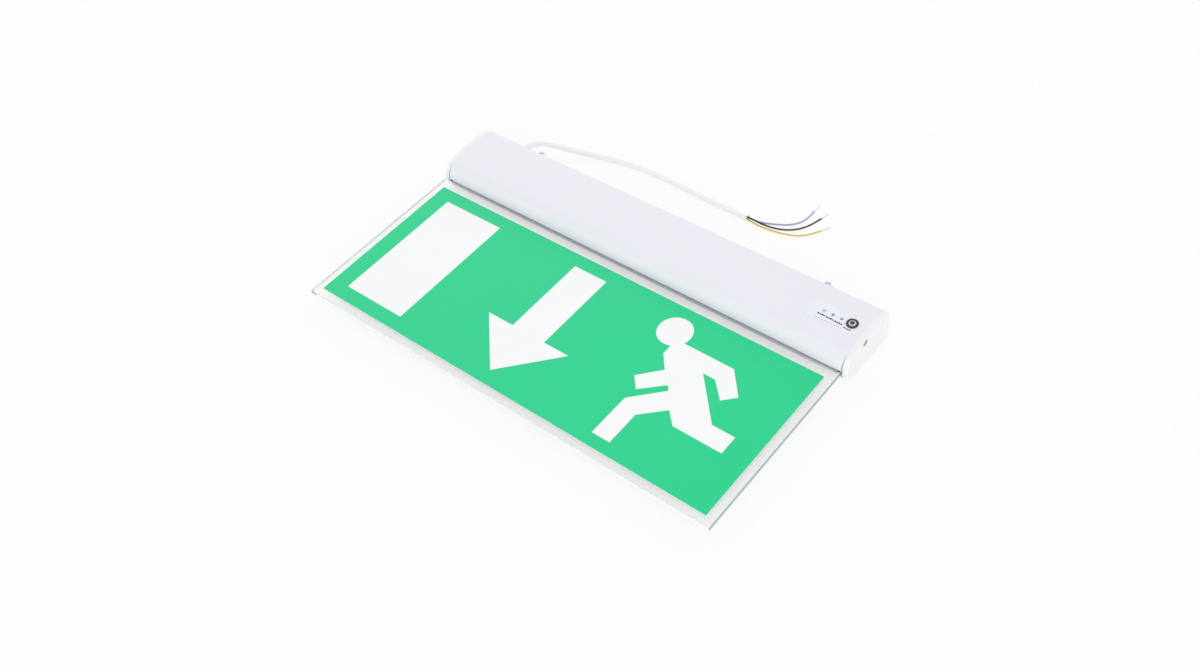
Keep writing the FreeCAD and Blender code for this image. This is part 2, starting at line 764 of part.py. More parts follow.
def make_control_label():
    """Thin label that follows the bowed front, with holes for the button and the indicators."""
    body = new_body("control_label")
    sketch = new_sketch(body, "YZ_Plane", "control_label_section")
    low, high = size.label_low, size.label_low + size.label_high
    face = Section(-size.label_thick)
    corners = [(low, outer.front_at(low)), (high, outer.front_at(high)),
               (high, face.front_at(high)), (low, face.front_at(low))]
    draw_outline(sketch, corners, {0: (outer.crown_centre, outer.crown_radius),
                                   2: (face.crown_centre, face.crown_radius)})
    film = pad(body, sketch, "control_label_film", size.label_wide)

    def corner(edge, middle):
        end = near(middle.x, 0) or near(middle.x, size.label_wide.value)
        return end and edge.Length < size.label_thick.value * 2
    round_edges(body, film, "control_label_corners", edges_where(film.Shape, corner),
                size.label_corner)

    sketch = new_sketch(body, "XY_Plane", "control_label_holes", label_top)
    draw_circle(sketch, button_x - label_left, size.button_up,
                size.barrel_radius + size.clearance)
    for number in (-1, 0, 1):
        draw_circle(sketch, light_x + size.light_pitch * number - label_left, size.light_up,
                    size.light_radius + size.clearance)
    pocket(body, sketch, "control_label_punching", size.wall)
    place(body, "control_label", label_left, lip_y, 0)


def make_test_button():
    """Panel switch: ring with barrel, sliding cap, lock nut and a base with two tags."""
    top = size.bezel_high
    bottom = -size.barrel_deep
    bore = size.button_radius + size.clearance
    chamfer = size.bezel_high / 3
    body = new_body("test_button_bezel")
    sketch = new_sketch(body, "XZ_Plane", "bezel_section")
    draw_outline(sketch, [
        (bore, bottom), (size.barrel_radius, bottom), (size.barrel_radius, ZERO),
        (size.bezel_radius, ZERO), (size.bezel_radius, top - chamfer),
        (size.bezel_radius - chamfer, top), (bore + chamfer, top), (bore, top - chamfer),
    ])
    revolve(body, sketch, "bezel_turning")
    place(body, "test_button_bezel", button_x, lip_y + size.button_up, label_top)

    body = new_body("test_button_cap")
    sketch = new_sketch(body, "XZ_Plane", "button_section")
    crown = top + size.button_proud
    foot = crown - size.button_deep
    dimple = size.button_radius / 3
    dimple_deep = size.button_proud * 2
    stem = size.button_radius / 2
    stem_foot = foot - size.button_travel
    draw_outline(sketch, [
        (ZERO, stem_foot), (stem, stem_foot), (stem, foot), (size.button_radius, foot),
        (size.button_radius, crown - dimple_deep), (size.button_radius - dimple_deep, crown),
        (dimple + dimple_deep, crown), (dimple, crown - dimple_deep), (ZERO, crown - dimple_deep),
    ])
    revolve(body, sketch, "button_turning")
    place(body, "test_button_cap", button_x, lip_y + size.button_up, label_top)

    body = new_body("test_button_nut")
    sketch = new_sketch(body, "XY_Plane", "button_nut_outline")
    draw_circle(sketch, ZERO, ZERO, size.bezel_radius)
    draw_circle(sketch, ZERO, ZERO, size.barrel_radius + size.clearance / 4)
    pad(body, sketch, "button_nut_blank", size.wall)
    wall_inside = inner.front_at(size.button_up - size.bezel_radius)
    place(body, "test_button_nut", button_x, lip_y + size.button_up, wall_inside - size.wall)

    body = new_body("test_switch_base")
    sketch = new_sketch(body, "XY_Plane", "switch_base_outline")
    draw_circle(sketch, ZERO, ZERO, size.barrel_radius)
    pad(body, sketch, "switch_base_disc", size.wall, backwards=True)
    sketch = new_sketch(body, "XY_Plane", "switch_tag_outline", -size.wall)
    tag_wide, tag_thick = size.barrel_radius / 2, size.wall / 3
    for side in (-1, 1):
        middle = size.barrel_radius / 2 * side
        draw_box(sketch, middle - tag_thick / 2, -tag_wide / 2, tag_thick, tag_wide)
    pad(body, sketch, "switch_tags", size.wall * 2, backwards=True)
    place(body, "test_switch_base", button_x, lip_y + size.button_up, label_top + bottom)


INDICATORS = [("charge_indicator", -1), ("supply_indicator", 0), ("fault_indicator", 1)]


def make_indicators():
    """Three domed lamps on a small board that two spacers hold behind the front."""
    seat = inner.front_at(size.label_low) - size.wall * 2
    long = label_top + size.light_proud - seat
    for label, number in INDICATORS:
        body = new_body(label)
        sketch = new_sketch(body, "XZ_Plane", label + "_section")
        shoulder = long - size.light_radius
        flange = size.light_radius * 1.25
        draw_outline(sketch, [
            (ZERO, ZERO), (flange, ZERO), (flange, size.light_radius),
            (size.light_radius, size.light_radius), (size.light_radius, shoulder), (ZERO, long),
        ], {4: ((ZERO, shoulder), size.light_radius)})
        revolve(body, sketch, label + "_turning")
        place(body, label, light_x + size.light_pitch * number, lip_y + size.light_up, seat)

    board_long = size.light_pitch * 3 + size.light_radius * 4
    board_wide = size.light_radius * 8
    board = block("indicator_board_blank", board_long, board_wide, size.strip_thick)
    board_left = light_x - board_long * 0.6
    board_low = lip_y + size.light_up - board_wide / 4
    place(board, "indicator_board", board_left, board_low, seat - size.strip_thick)
    post = size.light_radius
    spacers = []
    for number in (0, 1):
        up = board_low - lip_y + board_wide - post
        along = board_left + post + (board_long - post * 2) * number * 0.5
        spacers.append(cylinder("indicator_spacer_%d" % number, post,
                                inner.front_at(up + post) - seat - size.label_thick,
                                along, lip_y + up, 0))
    place(group("indicator_spacer_pair", spacers), "indicator_spacers", 0, 0, seat)


# ---------------------------------------------------------------------------------------------------
# Electrics inside the housing
# ---------------------------------------------------------------------------------------------------


def make_driver():
    """Charger and driver board, held by its edges in the card guides, with its main parts."""
    web = size.slot_deep + size.wall
    deep = size.housing_high - size.wall - web - size.clearance * 2
    low = lip_y + web + size.clearance
    level = size.guide_level - size.board_thick / 2
    board = block("driver_board_blank", size.driver_long, deep, size.board_thick)
    place(board, "driver_board", driver_left, low, level)

    face = level + size.board_thick
    middle = low + deep / 2

    post = size.driver_long / 10
    terminal = block("terminal_body", post, post * 1.5, post * 0.9)
    ports = []
    for number in (-1, 0, 1):
        ports.append(cylinder("terminal_port_%d" % (number + 1), post * 0.17, post * 0.6,
                              0, post * (0.75 + 0.45 * number), post * 0.4, axis="x"))
    place(cut("terminal_drilled", terminal, fuse("terminal_ports", ports)), "terminal_block",
          driver_left + size.clearance * 10, middle - post * 0.75, face)

    capacitor = cylinder("smoothing_can", post * 0.5, post * 1.05)
    place(capacitor, "smoothing_capacitor", driver_left + post * 2.6, middle, face)

    film = block("film_capacitor_body", post * 0.6, post * 1.3, post)
    place(film, "mains_capacitor", driver_left + post * 3.6, middle - post * 0.65, face)

    core = block("transformer_core", post * 1.7, post * 1.5, post * 0.5, 0, 0, post * 0.35)
    winding = block("transformer_winding", post * 1.1, post * 1.7, post * 0.65,
                    post * 0.3, -post * 0.1, post * 0.15)
    base = block("transformer_base", post * 1.7, post * 1.7, post * 0.15, 0, -post * 0.1, 0)
    place(fuse("transformer_parts", [core, winding, base]), "driver_transformer",
          driver_left + post * 5.25, middle - post * 0.75, face)

    socket = block("battery_socket_body", post * 0.7, post, post * 0.6)
    place(socket, "battery_socket", driver_left + size.driver_long - post, middle - post / 2, face)


def make_battery():
    """Three sleeved cells in line, and the two spring clips that hold them to the back wall."""
    level = size.wall + size.clip_thick + size.battery_radius
    cells = cylinder("battery_sleeve", size.battery_radius, battery_long, axis="x")
    place(cells, "battery_pack", battery_left, lip_y + size.battery_up, level)

    clips = []
    for number in (0, 1):
        along = battery_long * (0.2 + 0.6 * number) - size.clip_wide / 2
        outside = cylinder("clip_outside_%d" % number, size.battery_radius + size.clip_thick,
                           size.clip_wide, along, axis="x")
        inside = cylinder("clip_inside_%d" % number, size.battery_radius, size.clip_wide, along, axis="x")
        ring = cut("clip_ring_%d" % number, outside, inside)
        reach = size.battery_radius * 2 + size.clip_thick * 4
        mouth = block("clip_mouth_%d" % number, size.clip_wide, reach, reach,
                      along, -reach / 2, size.battery_radius / 3)
        clips.append(cut("clip_%d" % number, ring, mouth))
    place(group("battery_clip_pair", clips), "battery_clips", battery_left,
          lip_y + size.battery_up, level)


# ---------------------------------------------------------------------------------------------------
# Suspension eyes, flex and its cores
# ---------------------------------------------------------------------------------------------------


def make_suspension_eye(label, side):
    """Ring of round wire on a collar and a threaded shank that passes through the mounting face."""
    name = label + "_suspension_eye"
    ring = document.addObject("Part::Torus", name + "_ring")
    bind(ring, "Radius1", size.eye_radius)
    bind(ring, "Radius2", size.eye_wire)
    bind(ring, "Placement.Base.y", size.eye_rise)
    inside = size.wall + size.nut_high + size.clearance * 4
    shank = cylinder(name + "_shank", size.eye_shank, inside + size.collar_high, 0, -inside, 0, axis="y")
    collar = cylinder(name + "_collar", size.eye_collar, size.collar_high, axis="y")
    neck = document.addObject("Part::Cone", name + "_neck")
    bind(neck, "Radius1", size.eye_shank)
    bind(neck, "Radius2", size.eye_wire)
    bind(neck, "Height", size.eye_rise - size.eye_radius - size.collar_high)
    bind(neck, "Placement.Base.y", size.collar_high)
    neck.Placement.Rotation = FreeCAD.Rotation(Vector(1, 0, 0), -90)
    along = eye_x * side
    place(fuse(name + "_solid", [ring, neck, collar, shank]), name, along, mount_face_y, size.eye_level)

    name = label + "_eye_nut"
    body = new_body(name)
    sketch = new_sketch(body, "XZ_Plane", name + "_outline")
    corner = size.nut_across / as_size(3.0).root()
    draw_outline(sketch, [
        (corner, ZERO), (corner / 2, size.nut_across / 2), (-corner / 2, size.nut_across / 2),
        (-corner, ZERO), (-corner / 2, -size.nut_across / 2), (corner / 2, -size.nut_across / 2),
    ])
    draw_circle(sketch, ZERO, ZERO, size.eye_shank + size.clearance / 4)
    pad(body, sketch, name + "_blank", size.nut_high)
    place(body, name, along, mount_face_y - size.wall, size.eye_level)


def make_grommet():
    """Round grommet that locks in the mounting face and lets the flex through."""
    body = new_body("flex_grommet")
    sketch = new_sketch(body, "XY_Plane", "grommet_section")
    bore = size.flex_radius + size.grommet_fit
    inside = size.wall + size.grommet_deep
    lead = size.grommet_deep / 3
    draw_outline(sketch, [
        (bore, -inside), (size.grommet_neck, -inside), (size.grommet_flange - lead, lead - inside),
        (size.grommet_flange - lead, -size.wall), (size.grommet_neck, -size.wall),
        (size.grommet_neck, ZERO), (size.grommet_flange, ZERO),
        (size.grommet_flange, size.grommet_long / 3), (size.grommet_tip, size.grommet_long),
        (bore, size.grommet_long),
    ])
    axis = [feature for feature in body.Origin.OriginFeatures if feature.Role == "Y_Axis"][0]
    feature = body.newObject("PartDesign::Revolution", "grommet_turning")
    feature.Profile = sketch
    feature.ReferenceAxis = (axis, [""])
    feature.Angle = 360.0
    document.recompute()
    place(body, "flex_grommet", flex_x, mount_face_y, size.flex_level)


# Routes as the flex and its bared cores lie, from the housing to their ends.
FLEX_ROUTE = [
    (0.0, -2.85, 14.0), (0.0, 7.25, 14.0), (3.8, 16.55, 12.6), (10.7, 23.55, 9.2),
    (21.0, 29.15, 5.4), (34.5, 34.55, 2.8), (52.0, 39.35, 2.4), (72.0, 43.05, 2.4),
    (94.0, 44.85, 2.4), (116.0, 44.25, 2.4), (138.0, 42.95, 2.4), (161.0, 42.05, 2.4),
    (183.5, 41.65, 2.4),
]
NEUTRAL_ROUTE = [
    (183.5, 42.53, 1.9), (189.5, 43.05, 1.3), (196.0, 44.85, 0.7), (203.5, 48.15, 0.7),
    (211.0, 51.95, 0.7), (217.0, 57.75, 0.7), (219.6, 65.75, 0.7), (219.4, 74.05, 0.7),
]
LIVE_ROUTE = [
    (183.5, 41.65, 3.42), (189.5, 41.85, 2.8), (196.0, 42.65, 1.3), (203.5, 43.95, 0.7),
    (211.0, 46.15, 0.7), (217.5, 50.15, 0.7), (222.5, 55.95, 0.7), (225.7, 62.95, 0.7),
    (227.7, 70.25, 0.7),
]
EARTH_ROUTE = [
    (183.5, 40.77, 1.9), (189.5, 40.25, 1.3), (196.0, 40.35, 0.7), (203.5, 40.95, 0.7),
    (211.5, 42.15, 0.7), (219.0, 44.35, 0.7), (225.5, 47.75, 0.7), (230.6, 52.95, 0.7),
    (234.4, 59.35, 0.7),
]
CORES = [
    ("neutral_core", NEUTRAL_ROUTE),
    ("live_core", LIVE_ROUTE),
    ("earth_core", EARTH_ROUTE),
]


def tube_along(label, route, radius):
    """Round tube on straight runs joined by tangent arcs, each as large as its two runs allow."""
    points = [Vector(*point) for point in route]
    edges = []
    radii = []
    start = points[0]
    for before, corner, after in zip(points, points[1:], points[2:]):
        into = (corner - before).normalize()
        away = (after - corner).normalize()
        half_turn = into.getAngle(away) / 2
        reach = 0.45 * min((corner - before).Length, (after - corner).Length)
        arc_radius = reach / math.tan(half_turn)
        first = corner - into * reach
        last = corner + away * reach
        inward = (away - into).normalize()
        centre = corner + inward * (arc_radius / math.cos(half_turn))
        edges.append(Part.LineSegment(start, first).toShape())
        edges.append(Part.Arc(first, centre - inward * arc_radius, last).toShape())
        radii.append(arc_radius)
        start = last
    edges.append(Part.LineSegment(start, points[-1]).toShape())
    path = Part.Wire(edges)
    heading = (points[1] - points[0]).normalize()
    ring = Part.Wire([Part.Circle(points[0], heading, radius).toShape()])
    tube = path.makePipeShell([ring], True, False)
    expected = math.pi * radius * radius * path.Length
    if abs(tube.Volume / expected - 1) > 0.002:
        raise RuntimeError("%s has the wrong volume" % label)
    print("%s: %.1f mm long, radii %s" % (label, path.Length, " ".join("%.0f" % r for r in radii)))
    return tube


def make_part_feature(label, shape):
    """A sub-part whose shape comes straight from Part's functions, placed from the flex entry."""
    thing = document.addObject("Part::Feature", label + "_shape")
    thing.Shape = shape
    place(thing, label, flex_x, mount_face_y, 0)


def make_flex():
    """Round white flex, its three cores and the bared copper at each core's end."""
    make_part_feature("mains_flex", tube_along("mains_flex", FLEX_ROUTE, size.flex_radius.value))
    for label, route in CORES:
        make_part_feature(label, tube_along(label, route, size.core_radius.value))
        tip, before = Vector(*route[-1]), Vector(*route[-2])
        strand = Part.makeCylinder(size.strand_radius.value, size.strand_long.value, tip, tip - before)
        make_part_feature(label + "_end", strand)


# ---------------------------------------------------------------------------------------------------
# The whole light
# ---------------------------------------------------------------------------------------------------


def check_and_write():
    """Refuse anything that failed, then write one STEP file for each sub-part."""
    document.recompute()
    for thing in document.Objects:
        if "Invalid" in thing.State or "Error" in thing.State:
            raise RuntimeError("%s is %s" % (thing.Label, thing.State))
    os.makedirs("parts", exist_ok=True)
    triangles = 0
    for thing in subparts:
        shape = thing.Shape
        if shape.isNull() or not shape.isValid() or not shape.Solids:
            raise RuntimeError("%s has no valid solid" % thing.Label)
    for thing in subparts:
        thing.Shape.exportStep("parts/%s.step" % thing.Label)
        triangles += len(thing.Shape.tessellate(0.1)[1])
    print("%d sub-parts, about %d triangles" % (len(subparts), triangles))


make_housing()
make_end_cap("left_end_cap", -1)
make_end_cap("right_end_cap", 1)
make_cap_screw("left_cap_screw", -1)
make_cap_screw("right_cap_screw", 1)
make_blade()
make_gasket()
make_legend()
make_lamp_strip()
make_control_label()
make_test_button()
make_indicators()
make_driver()
make_battery()
make_suspension_eye("left", -1)
make_suspension_eye("right", 1)
make_grommet()
make_flex()
check_and_write()
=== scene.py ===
import math

import bpy
import numpy as np
from mathutils import Euler, Matrix, Vector


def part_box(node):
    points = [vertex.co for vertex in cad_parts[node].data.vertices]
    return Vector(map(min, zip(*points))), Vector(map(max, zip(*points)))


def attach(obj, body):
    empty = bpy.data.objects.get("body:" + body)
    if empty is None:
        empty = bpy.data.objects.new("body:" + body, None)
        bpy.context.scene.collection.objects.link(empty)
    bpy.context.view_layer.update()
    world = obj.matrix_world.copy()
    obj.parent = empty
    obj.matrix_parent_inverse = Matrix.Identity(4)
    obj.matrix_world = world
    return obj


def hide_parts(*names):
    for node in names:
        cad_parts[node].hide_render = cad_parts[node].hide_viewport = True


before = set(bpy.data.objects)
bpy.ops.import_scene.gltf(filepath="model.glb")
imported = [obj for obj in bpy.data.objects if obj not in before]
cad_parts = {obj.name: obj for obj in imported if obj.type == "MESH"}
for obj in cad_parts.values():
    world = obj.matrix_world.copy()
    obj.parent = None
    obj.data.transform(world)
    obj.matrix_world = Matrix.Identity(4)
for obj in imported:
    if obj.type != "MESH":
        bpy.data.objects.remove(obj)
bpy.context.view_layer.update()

bl_info = {
    "name": "Emergency exit light",
    "version": (1, 0, 0),
    "blender": (4, 5, 0),
    "location": "View3D > Sidebar > Exit Light",
    "description": "Gives the exit light its finishes, flex, cores and print, and sets its stage",
    "category": "Object",
}

MM = 0.001


# ------------------------------------------------------------------------------------------------
# Places read from the frame, and sizes that follow the solids
# ------------------------------------------------------------------------------------------------

HOUSING_LOW, HOUSING_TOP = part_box("housing_profile")
BLADE_LOW, BLADE_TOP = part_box("blade")
BUTTON_LOW, BUTTON_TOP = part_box("test_button_cap")
LIGHT_LOW, LIGHT_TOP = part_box("supply_indicator")
SCREW_LOW, SCREW_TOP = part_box("right_cap_screw")

# The bowed front of the housing, above its lip
LIP_Y = HOUSING_LOW[1]
FRONT_RADIUS = 102.0 * MM
CROWN_Y = LIP_Y + 30.0 * MM
LABEL_THICK = 0.2 * MM

# The test button and the row of three indicators, whose middle one is the supply's
BUTTON_X = (BUTTON_LOW[0] + BUTTON_TOP[0]) / 2.0
BUTTON_Y = (BUTTON_LOW[1] + BUTTON_TOP[1]) / 2.0
BUTTON_CENTRE_RADIUS = 1.45 * MM
BUTTON_CENTRE_SOFT = 0.1
LIGHT_X = (LIGHT_LOW[0] + LIGHT_TOP[0]) / 2.0
LIGHT_PITCH = 6.5 * MM

# Painted shade in the seams between the housing and its end caps, and in the counterbores of the cap screws
SEAM_X = HOUSING_TOP[0]
SEAM_HALF = 0.3 * MM
SEAM_TOP = LIP_Y + 7.0 * MM
SEAM_FADE = 6.0 * MM
SCREW_Y = (SCREW_LOW[1] + SCREW_TOP[1]) / 2.0
SCREW_Z = (SCREW_LOW[2] + SCREW_TOP[2]) / 2.0
COUNTERBORE_RADIUS = 2.3 * MM
# The colour of that painted shade
SHADOW = (0.16, 0.16, 0.17)

# The polished free edges of the blade: how far they stand proud at the sheet's corners, how much further in
# the middle of its thickness, where they stop short of the lip, and their grid
EDGE_FOOT = 0.006 * MM
EDGE_CROWN = 0.03 * MM
EDGE_STOP = LIP_Y - 0.2 * MM
EDGE_STEPS, EDGE_STEPS_ACROSS = 9, 7

# The marks printed under each indicator: four bars, of two widths and two heights by turns
MARK_COUNT = 4
MARK_FROM_LIGHT = 3.0 * MM
MARK_PITCH = 1.5 * MM
MARK_WIDTHS = (1.2 * MM, 1.3 * MM)
MARK_HEIGHTS = (1.2 * MM, 0.85 * MM)
MARK_FOOT = LIP_Y + 23.3 * MM
MARK_DROP = 0.25 * MM
BAR_COLUMNS, BAR_ROWS = 5, 4


# ------------------------------------------------------------------------------------------------
# Routes of the flex and its cores, in millimetres, the same points as the solids follow
# ------------------------------------------------------------------------------------------------

FLEX_ROUTE = (
    (-146.0, 88.4, 14.0), (-146.0, 98.5, 14.0), (-142.2, 107.8, 12.6), (-135.3, 114.8, 9.2),
    (-125.0, 120.4, 5.4), (-111.5, 125.8, 2.8), (-94.0, 130.6, 2.4), (-74.0, 134.3, 2.4),
    (-52.0, 136.1, 2.4), (-30.0, 135.5, 2.4), (-8.0, 134.2, 2.4), (15.0, 133.3, 2.4), (37.5, 132.9, 2.4),
)
NEUTRAL_ROUTE = (
    (37.5, 133.78, 1.9), (43.5, 134.3, 1.3), (50.0, 136.1, 0.7), (57.5, 139.4, 0.7),
    (65.0, 143.2, 0.7), (71.0, 149.0, 0.7), (73.6, 157.0, 0.7), (73.4, 165.3, 0.7),
)
LIVE_ROUTE = (
    (37.5, 132.9, 3.42), (43.5, 133.1, 2.8), (50.0, 133.9, 1.3), (57.5, 135.2, 0.7), (65.0, 137.4, 0.7),
    (71.5, 141.4, 0.7), (76.5, 147.2, 0.7), (79.7, 154.2, 0.7), (81.7, 161.5, 0.7),
)
EARTH_ROUTE = (
    (37.5, 132.02, 1.9), (43.5, 131.5, 1.3), (50.0, 131.6, 0.7), (57.5, 132.2, 0.7), (65.5, 133.4, 0.7),
    (73.0, 135.6, 0.7), (79.5, 139.0, 0.7), (84.6, 144.2, 0.7), (88.4, 150.6, 0.7),
)

# Lengths of the cords in metres
CORES = (
    ("neutral", NEUTRAL_ROUTE, 0.0542),
    ("live", LIVE_ROUTE, 0.0586),
    ("earth", EARTH_ROUTE, 0.0579),
)

# The cords' splines: their order, the steps from point to point, and the steps round a quarter of the girth
SPLINE_ORDER = 3
SPLINE_STEPS = 12
ROUND_STEPS = 6

# The bared ends: six strands twisted round a seventh, cut a little unevenly, with the share of its radius to
# which each strand closes at its ends
STRAND_LENGTH = 7.0 * MM
OUTER_STRANDS = 6
STRAND_STEPS, STRAND_SIDES = 30, 8
STRAND_UNEVEN = 0.03
TUBE_END = 0.02


# ------------------------------------------------------------------------------------------------
# The stage
# ------------------------------------------------------------------------------------------------

# Place and diameter of each round lamp, in metres; all of them aim at the origin
KEY_PLACE, KEY_SIZE = (1.0, -1.35, 0.62), 2.4
FILL_PLACE, FILL_SIZE = (-1.5, 1.2, 1.5), 2.4
BACK_PLACE, BACK_SIZE = (0.3, 1.6, 0.8), 1.2

# The floor's roughness, the camera's sensor in millimetres and its nearest distance in metres
PAPER_ROUGHNESS = 0.7
SENSOR_WIDTH = 36.0
NEAREST_SEEN = 0.01


# ------------------------------------------------------------------------------------------------
# Values of the shared finish and of the clear sheet
# ------------------------------------------------------------------------------------------------

# The band of the slow noise that shades the colour, and what it adds to the roughness at the band's ends
SLOW_BAND = (0.3, 0.7)
ROUGHNESS_SWING = (-0.04, 0.05)

# The band of the dust's noise over which dust sets in, its colour, and how much rougher it is
DUST_BAND = (0.55, 0.75)
DUST_COLOUR = (0.62, 0.60, 0.57)
DUST_ROUGHNESS = 0.8

# Strength of the grain's bump
BUMP_STRENGTH = 0.6

# The clear sheet's index of refraction, and its tint for the rays that pass it straight
ACRYLIC_INDEX = 1.49
THROUGH_TINT = (0.92, 0.94, 0.935)

# The earth core's green stripe: where it lies round the core and half its width, as shares of the girth
STRIPE_TURN = 0.42
STRIPE_HALF = 0.17


# ------------------------------------------------------------------------------------------------
# Sizes and colours that can be changed
# ------------------------------------------------------------------------------------------------


def length(name, description, default):
    """A property for a length in metres."""
    return bpy.props.FloatProperty(
        name=name,
        description=description,
        default=default,
        min=0.0,
        precision=5,
        subtype="DISTANCE",
        unit="LENGTH",
    )


def colour(name, description, default):
    """A property for a linear colour."""
    return bpy.props.FloatVectorProperty(
        name=name,
        description=description,
        default=default,
        min=0.0,
        max=1.0,
        size=3,
        subtype="COLOR",
    )


def factor(name, description, default, top=1.0):
    """A property for a plain number from nought up."""
    return bpy.props.FloatProperty(
        name=name, description=description, default=default, min=0.0, max=top, subtype="FACTOR"
    )


def power(name, description, default):
    """A property for a lamp's power in watts."""
    return bpy.props.FloatProperty(
        name=name, description=description, default=default, min=0.0, subtype="POWER", unit="POWER"
    )


class ExitLightSizes(bpy.types.PropertyGroup):
    """Sizes of the flex, its cores and the print."""

    sheath_diameter: length("Flex", "Diameter of the white three-core flex", 4.8 * MM)
    core_diameter: length("Core", "Diameter of one insulated core", 1.3 * MM)
    strand_bundle: length("Bared copper", "Diameter of a bared and twisted end", 0.8 * MM)
    strand_twist: length("Twist", "Length of one turn of the bared strands", 6.0 * MM)
    print_thick: length("Print", "Thickness of the print on the control label", 0.02 * MM)


class ExitLightColours(bpy.types.PropertyGroup):
    """Colours of the finishes, in linear values."""

    powder: colour("Powder coat", "White powder coat of the housing", (0.84, 0.845, 0.905))
    moulding: colour("End caps", "White moulded plastic of the end caps", (0.88, 0.882, 0.905))
    green: colour("Legend green", "Printed green of the legend", (0.012, 0.66, 0.28))
    opal: colour("Legend white", "Opal film under the green", (0.955, 0.96, 0.97))
    acrylic: colour("Acrylic", "Tint of the clear sheet", (0.955, 0.985, 0.975))
    # The polished edges' colours are painted light: a painted reflection on the front edge, painted shade on
    # the side edges
    edge_front_reflection: colour("Front edge", "The clear sheet's polished front edge", (0.86, 0.90, 0.89))
    edge_side_shade: colour("Side edge", "The clear sheet's polished side edges", (0.30, 0.43, 0.39))
    silicone: colour("Gasket", "Silicone strip that holds the blade", (0.62, 0.63, 0.62))
    label: colour("Control label", "Pale film around the button", (0.83, 0.845, 0.915))
    print_dark: colour("Print", "Bars printed on the control label", (0.012, 0.012, 0.02))
    print_pale: colour("Rule", "Pale rule printed below the bars", (0.42, 0.43, 0.50))
    indicator: colour("Indicators", "Grey resin of two indicators", (0.33, 0.33, 0.41))
    pale_indicator: colour("Charge indicator", "Paler resin of the third", (0.56, 0.57, 0.66))
    black: colour("Black plastic", "Test button's ring", (0.012, 0.012, 0.014))
    button: colour("Test button", "Grey-lilac cap of the test button", (0.55, 0.53, 0.60))
    sheath: colour("Flex sheath", "White sheath of the flex", (0.975, 0.975, 0.98))
    neutral: colour("Neutral core", "Blue insulation", (0.36, 0.42, 0.66))
    live: colour("Live core", "Brown insulation", (0.07, 0.018, 0.012))
    earth_green: colour("Earth core green", "Green stripe of the earth core", (0.10, 0.33, 0.05))
    earth_yellow: colour("Earth core yellow", "Yellow of the earth core", (0.96, 0.74, 0.13))
    copper: colour("Copper", "Bared and tinned copper strands", (0.90, 0.84, 0.76))
    zinc: colour("Zinc", "Bright zinc of screws and eyes", (0.74, 0.75, 0.77))
    paper: colour("Floor", "White paper of the floor", (0.90, 0.90, 0.905))


class ExitLightStage(bpy.types.PropertyGroup):
    """The camera, the lamps, the sky and the floor."""

    lens: bpy.props.FloatProperty(
        name="Lens",
        description="Focal length on a 36 mm sensor",
        default=37.94,
        min=10.0,
        subtype="DISTANCE_CAMERA",
    )
    camera_place: bpy.props.FloatVectorProperty(
        name="Camera",
        description="Place of the camera",
        default=(0.4404, -0.4049, 0.6347),
        size=3,
        subtype="TRANSLATION",
        unit="LENGTH",
    )
    camera_turn: bpy.props.FloatVectorProperty(
        name="Camera turn",
        description="Turn of the camera about the three axes",
        default=(math.radians(41.80), math.radians(7.003), math.radians(39.357)),
        size=3,
        subtype="EULER",
        unit="ROTATION",
    )
    sky_top: factor("Sky overhead", "Strength of the sky's light straight above", 0.605, 4.0)
    sky_rim: factor("Sky at the rim", "How much stronger it is near the horizon", 0.7, 4.0)
    sky_side: factor("Sky's bright side", "How much the rim leans to the front; none at nought", 0.25)
    key_power: power("Key lamp", "Power of the large soft lamp in front on the right", 16.0)
    fill_power: power("Fill lamp", "Power of the broad lamp behind on the left", 12.0)
    back_power: power("Back lamp", "Power of the lamp behind", 5.0)
    floor_glow: factor("Floor white", "Share of the floor that is plain white", 0.85)
    floor_glow_through: factor("Floor through the blade", "That share through the clear sheet", 0.52)
    floor_half: length("Floor", "Half the side of the floor", 6.0)


# ------------------------------------------------------------------------------------------------
# Meshes from numpy surfaces
# ------------------------------------------------------------------------------------------------


def add_mesh(name, vertices, faces):
    """Puts whole arrays of vertices and faces into a new smooth object at the origin."""
    mesh = bpy.data.meshes.new(name)
    mesh.from_pydata(vertices.reshape(-1, 3).tolist(), [], faces.tolist())
    mesh.polygons.foreach_set("use_smooth", np.ones(len(mesh.polygons), dtype=bool))
    mesh.update()
    made = bpy.data.objects.new(name, mesh)
    bpy.context.scene.collection.objects.link(made)
    return made


def grid_faces(rows, columns, wrap):
    """Quads between neighbouring rows and columns of a grid; the columns close on themselves with wrap."""
    across = columns if wrap else columns - 1
    row, column = np.meshgrid(np.arange(rows - 1), np.arange(across), indexing="ij")
    following = (column + 1) % columns
    corners = [
        row * columns + column,
        row * columns + following,
        (row + 1) * columns + following,
        (row + 1) * columns + column,
    ]
    return np.stack(corners, axis=-1).reshape(-1, 4)


def add_grids(name, grids, wrap=False):
    """One object from several grids of the same size."""
    grids = np.stack(grids)
    count, rows, columns = grids.shape[:3]
    faces = grid_faces(rows, columns, wrap)
    return add_mesh(name, grids, np.concatenate([faces + rows * columns * grid for grid in range(count)]))


def frames_along(path):
    """Two unit vectors across a path at each point: one level, the other square to it and to the path."""
    ahead = np.gradient(path, axis=0)
    ahead /= np.linalg.norm(ahead, axis=1, keepdims=True)
    level = np.cross(ahead, np.array([0.0, 0.0, 1.0]))
    level /= np.linalg.norm(level, axis=1, keepdims=True)
    return level, np.cross(level, ahead)


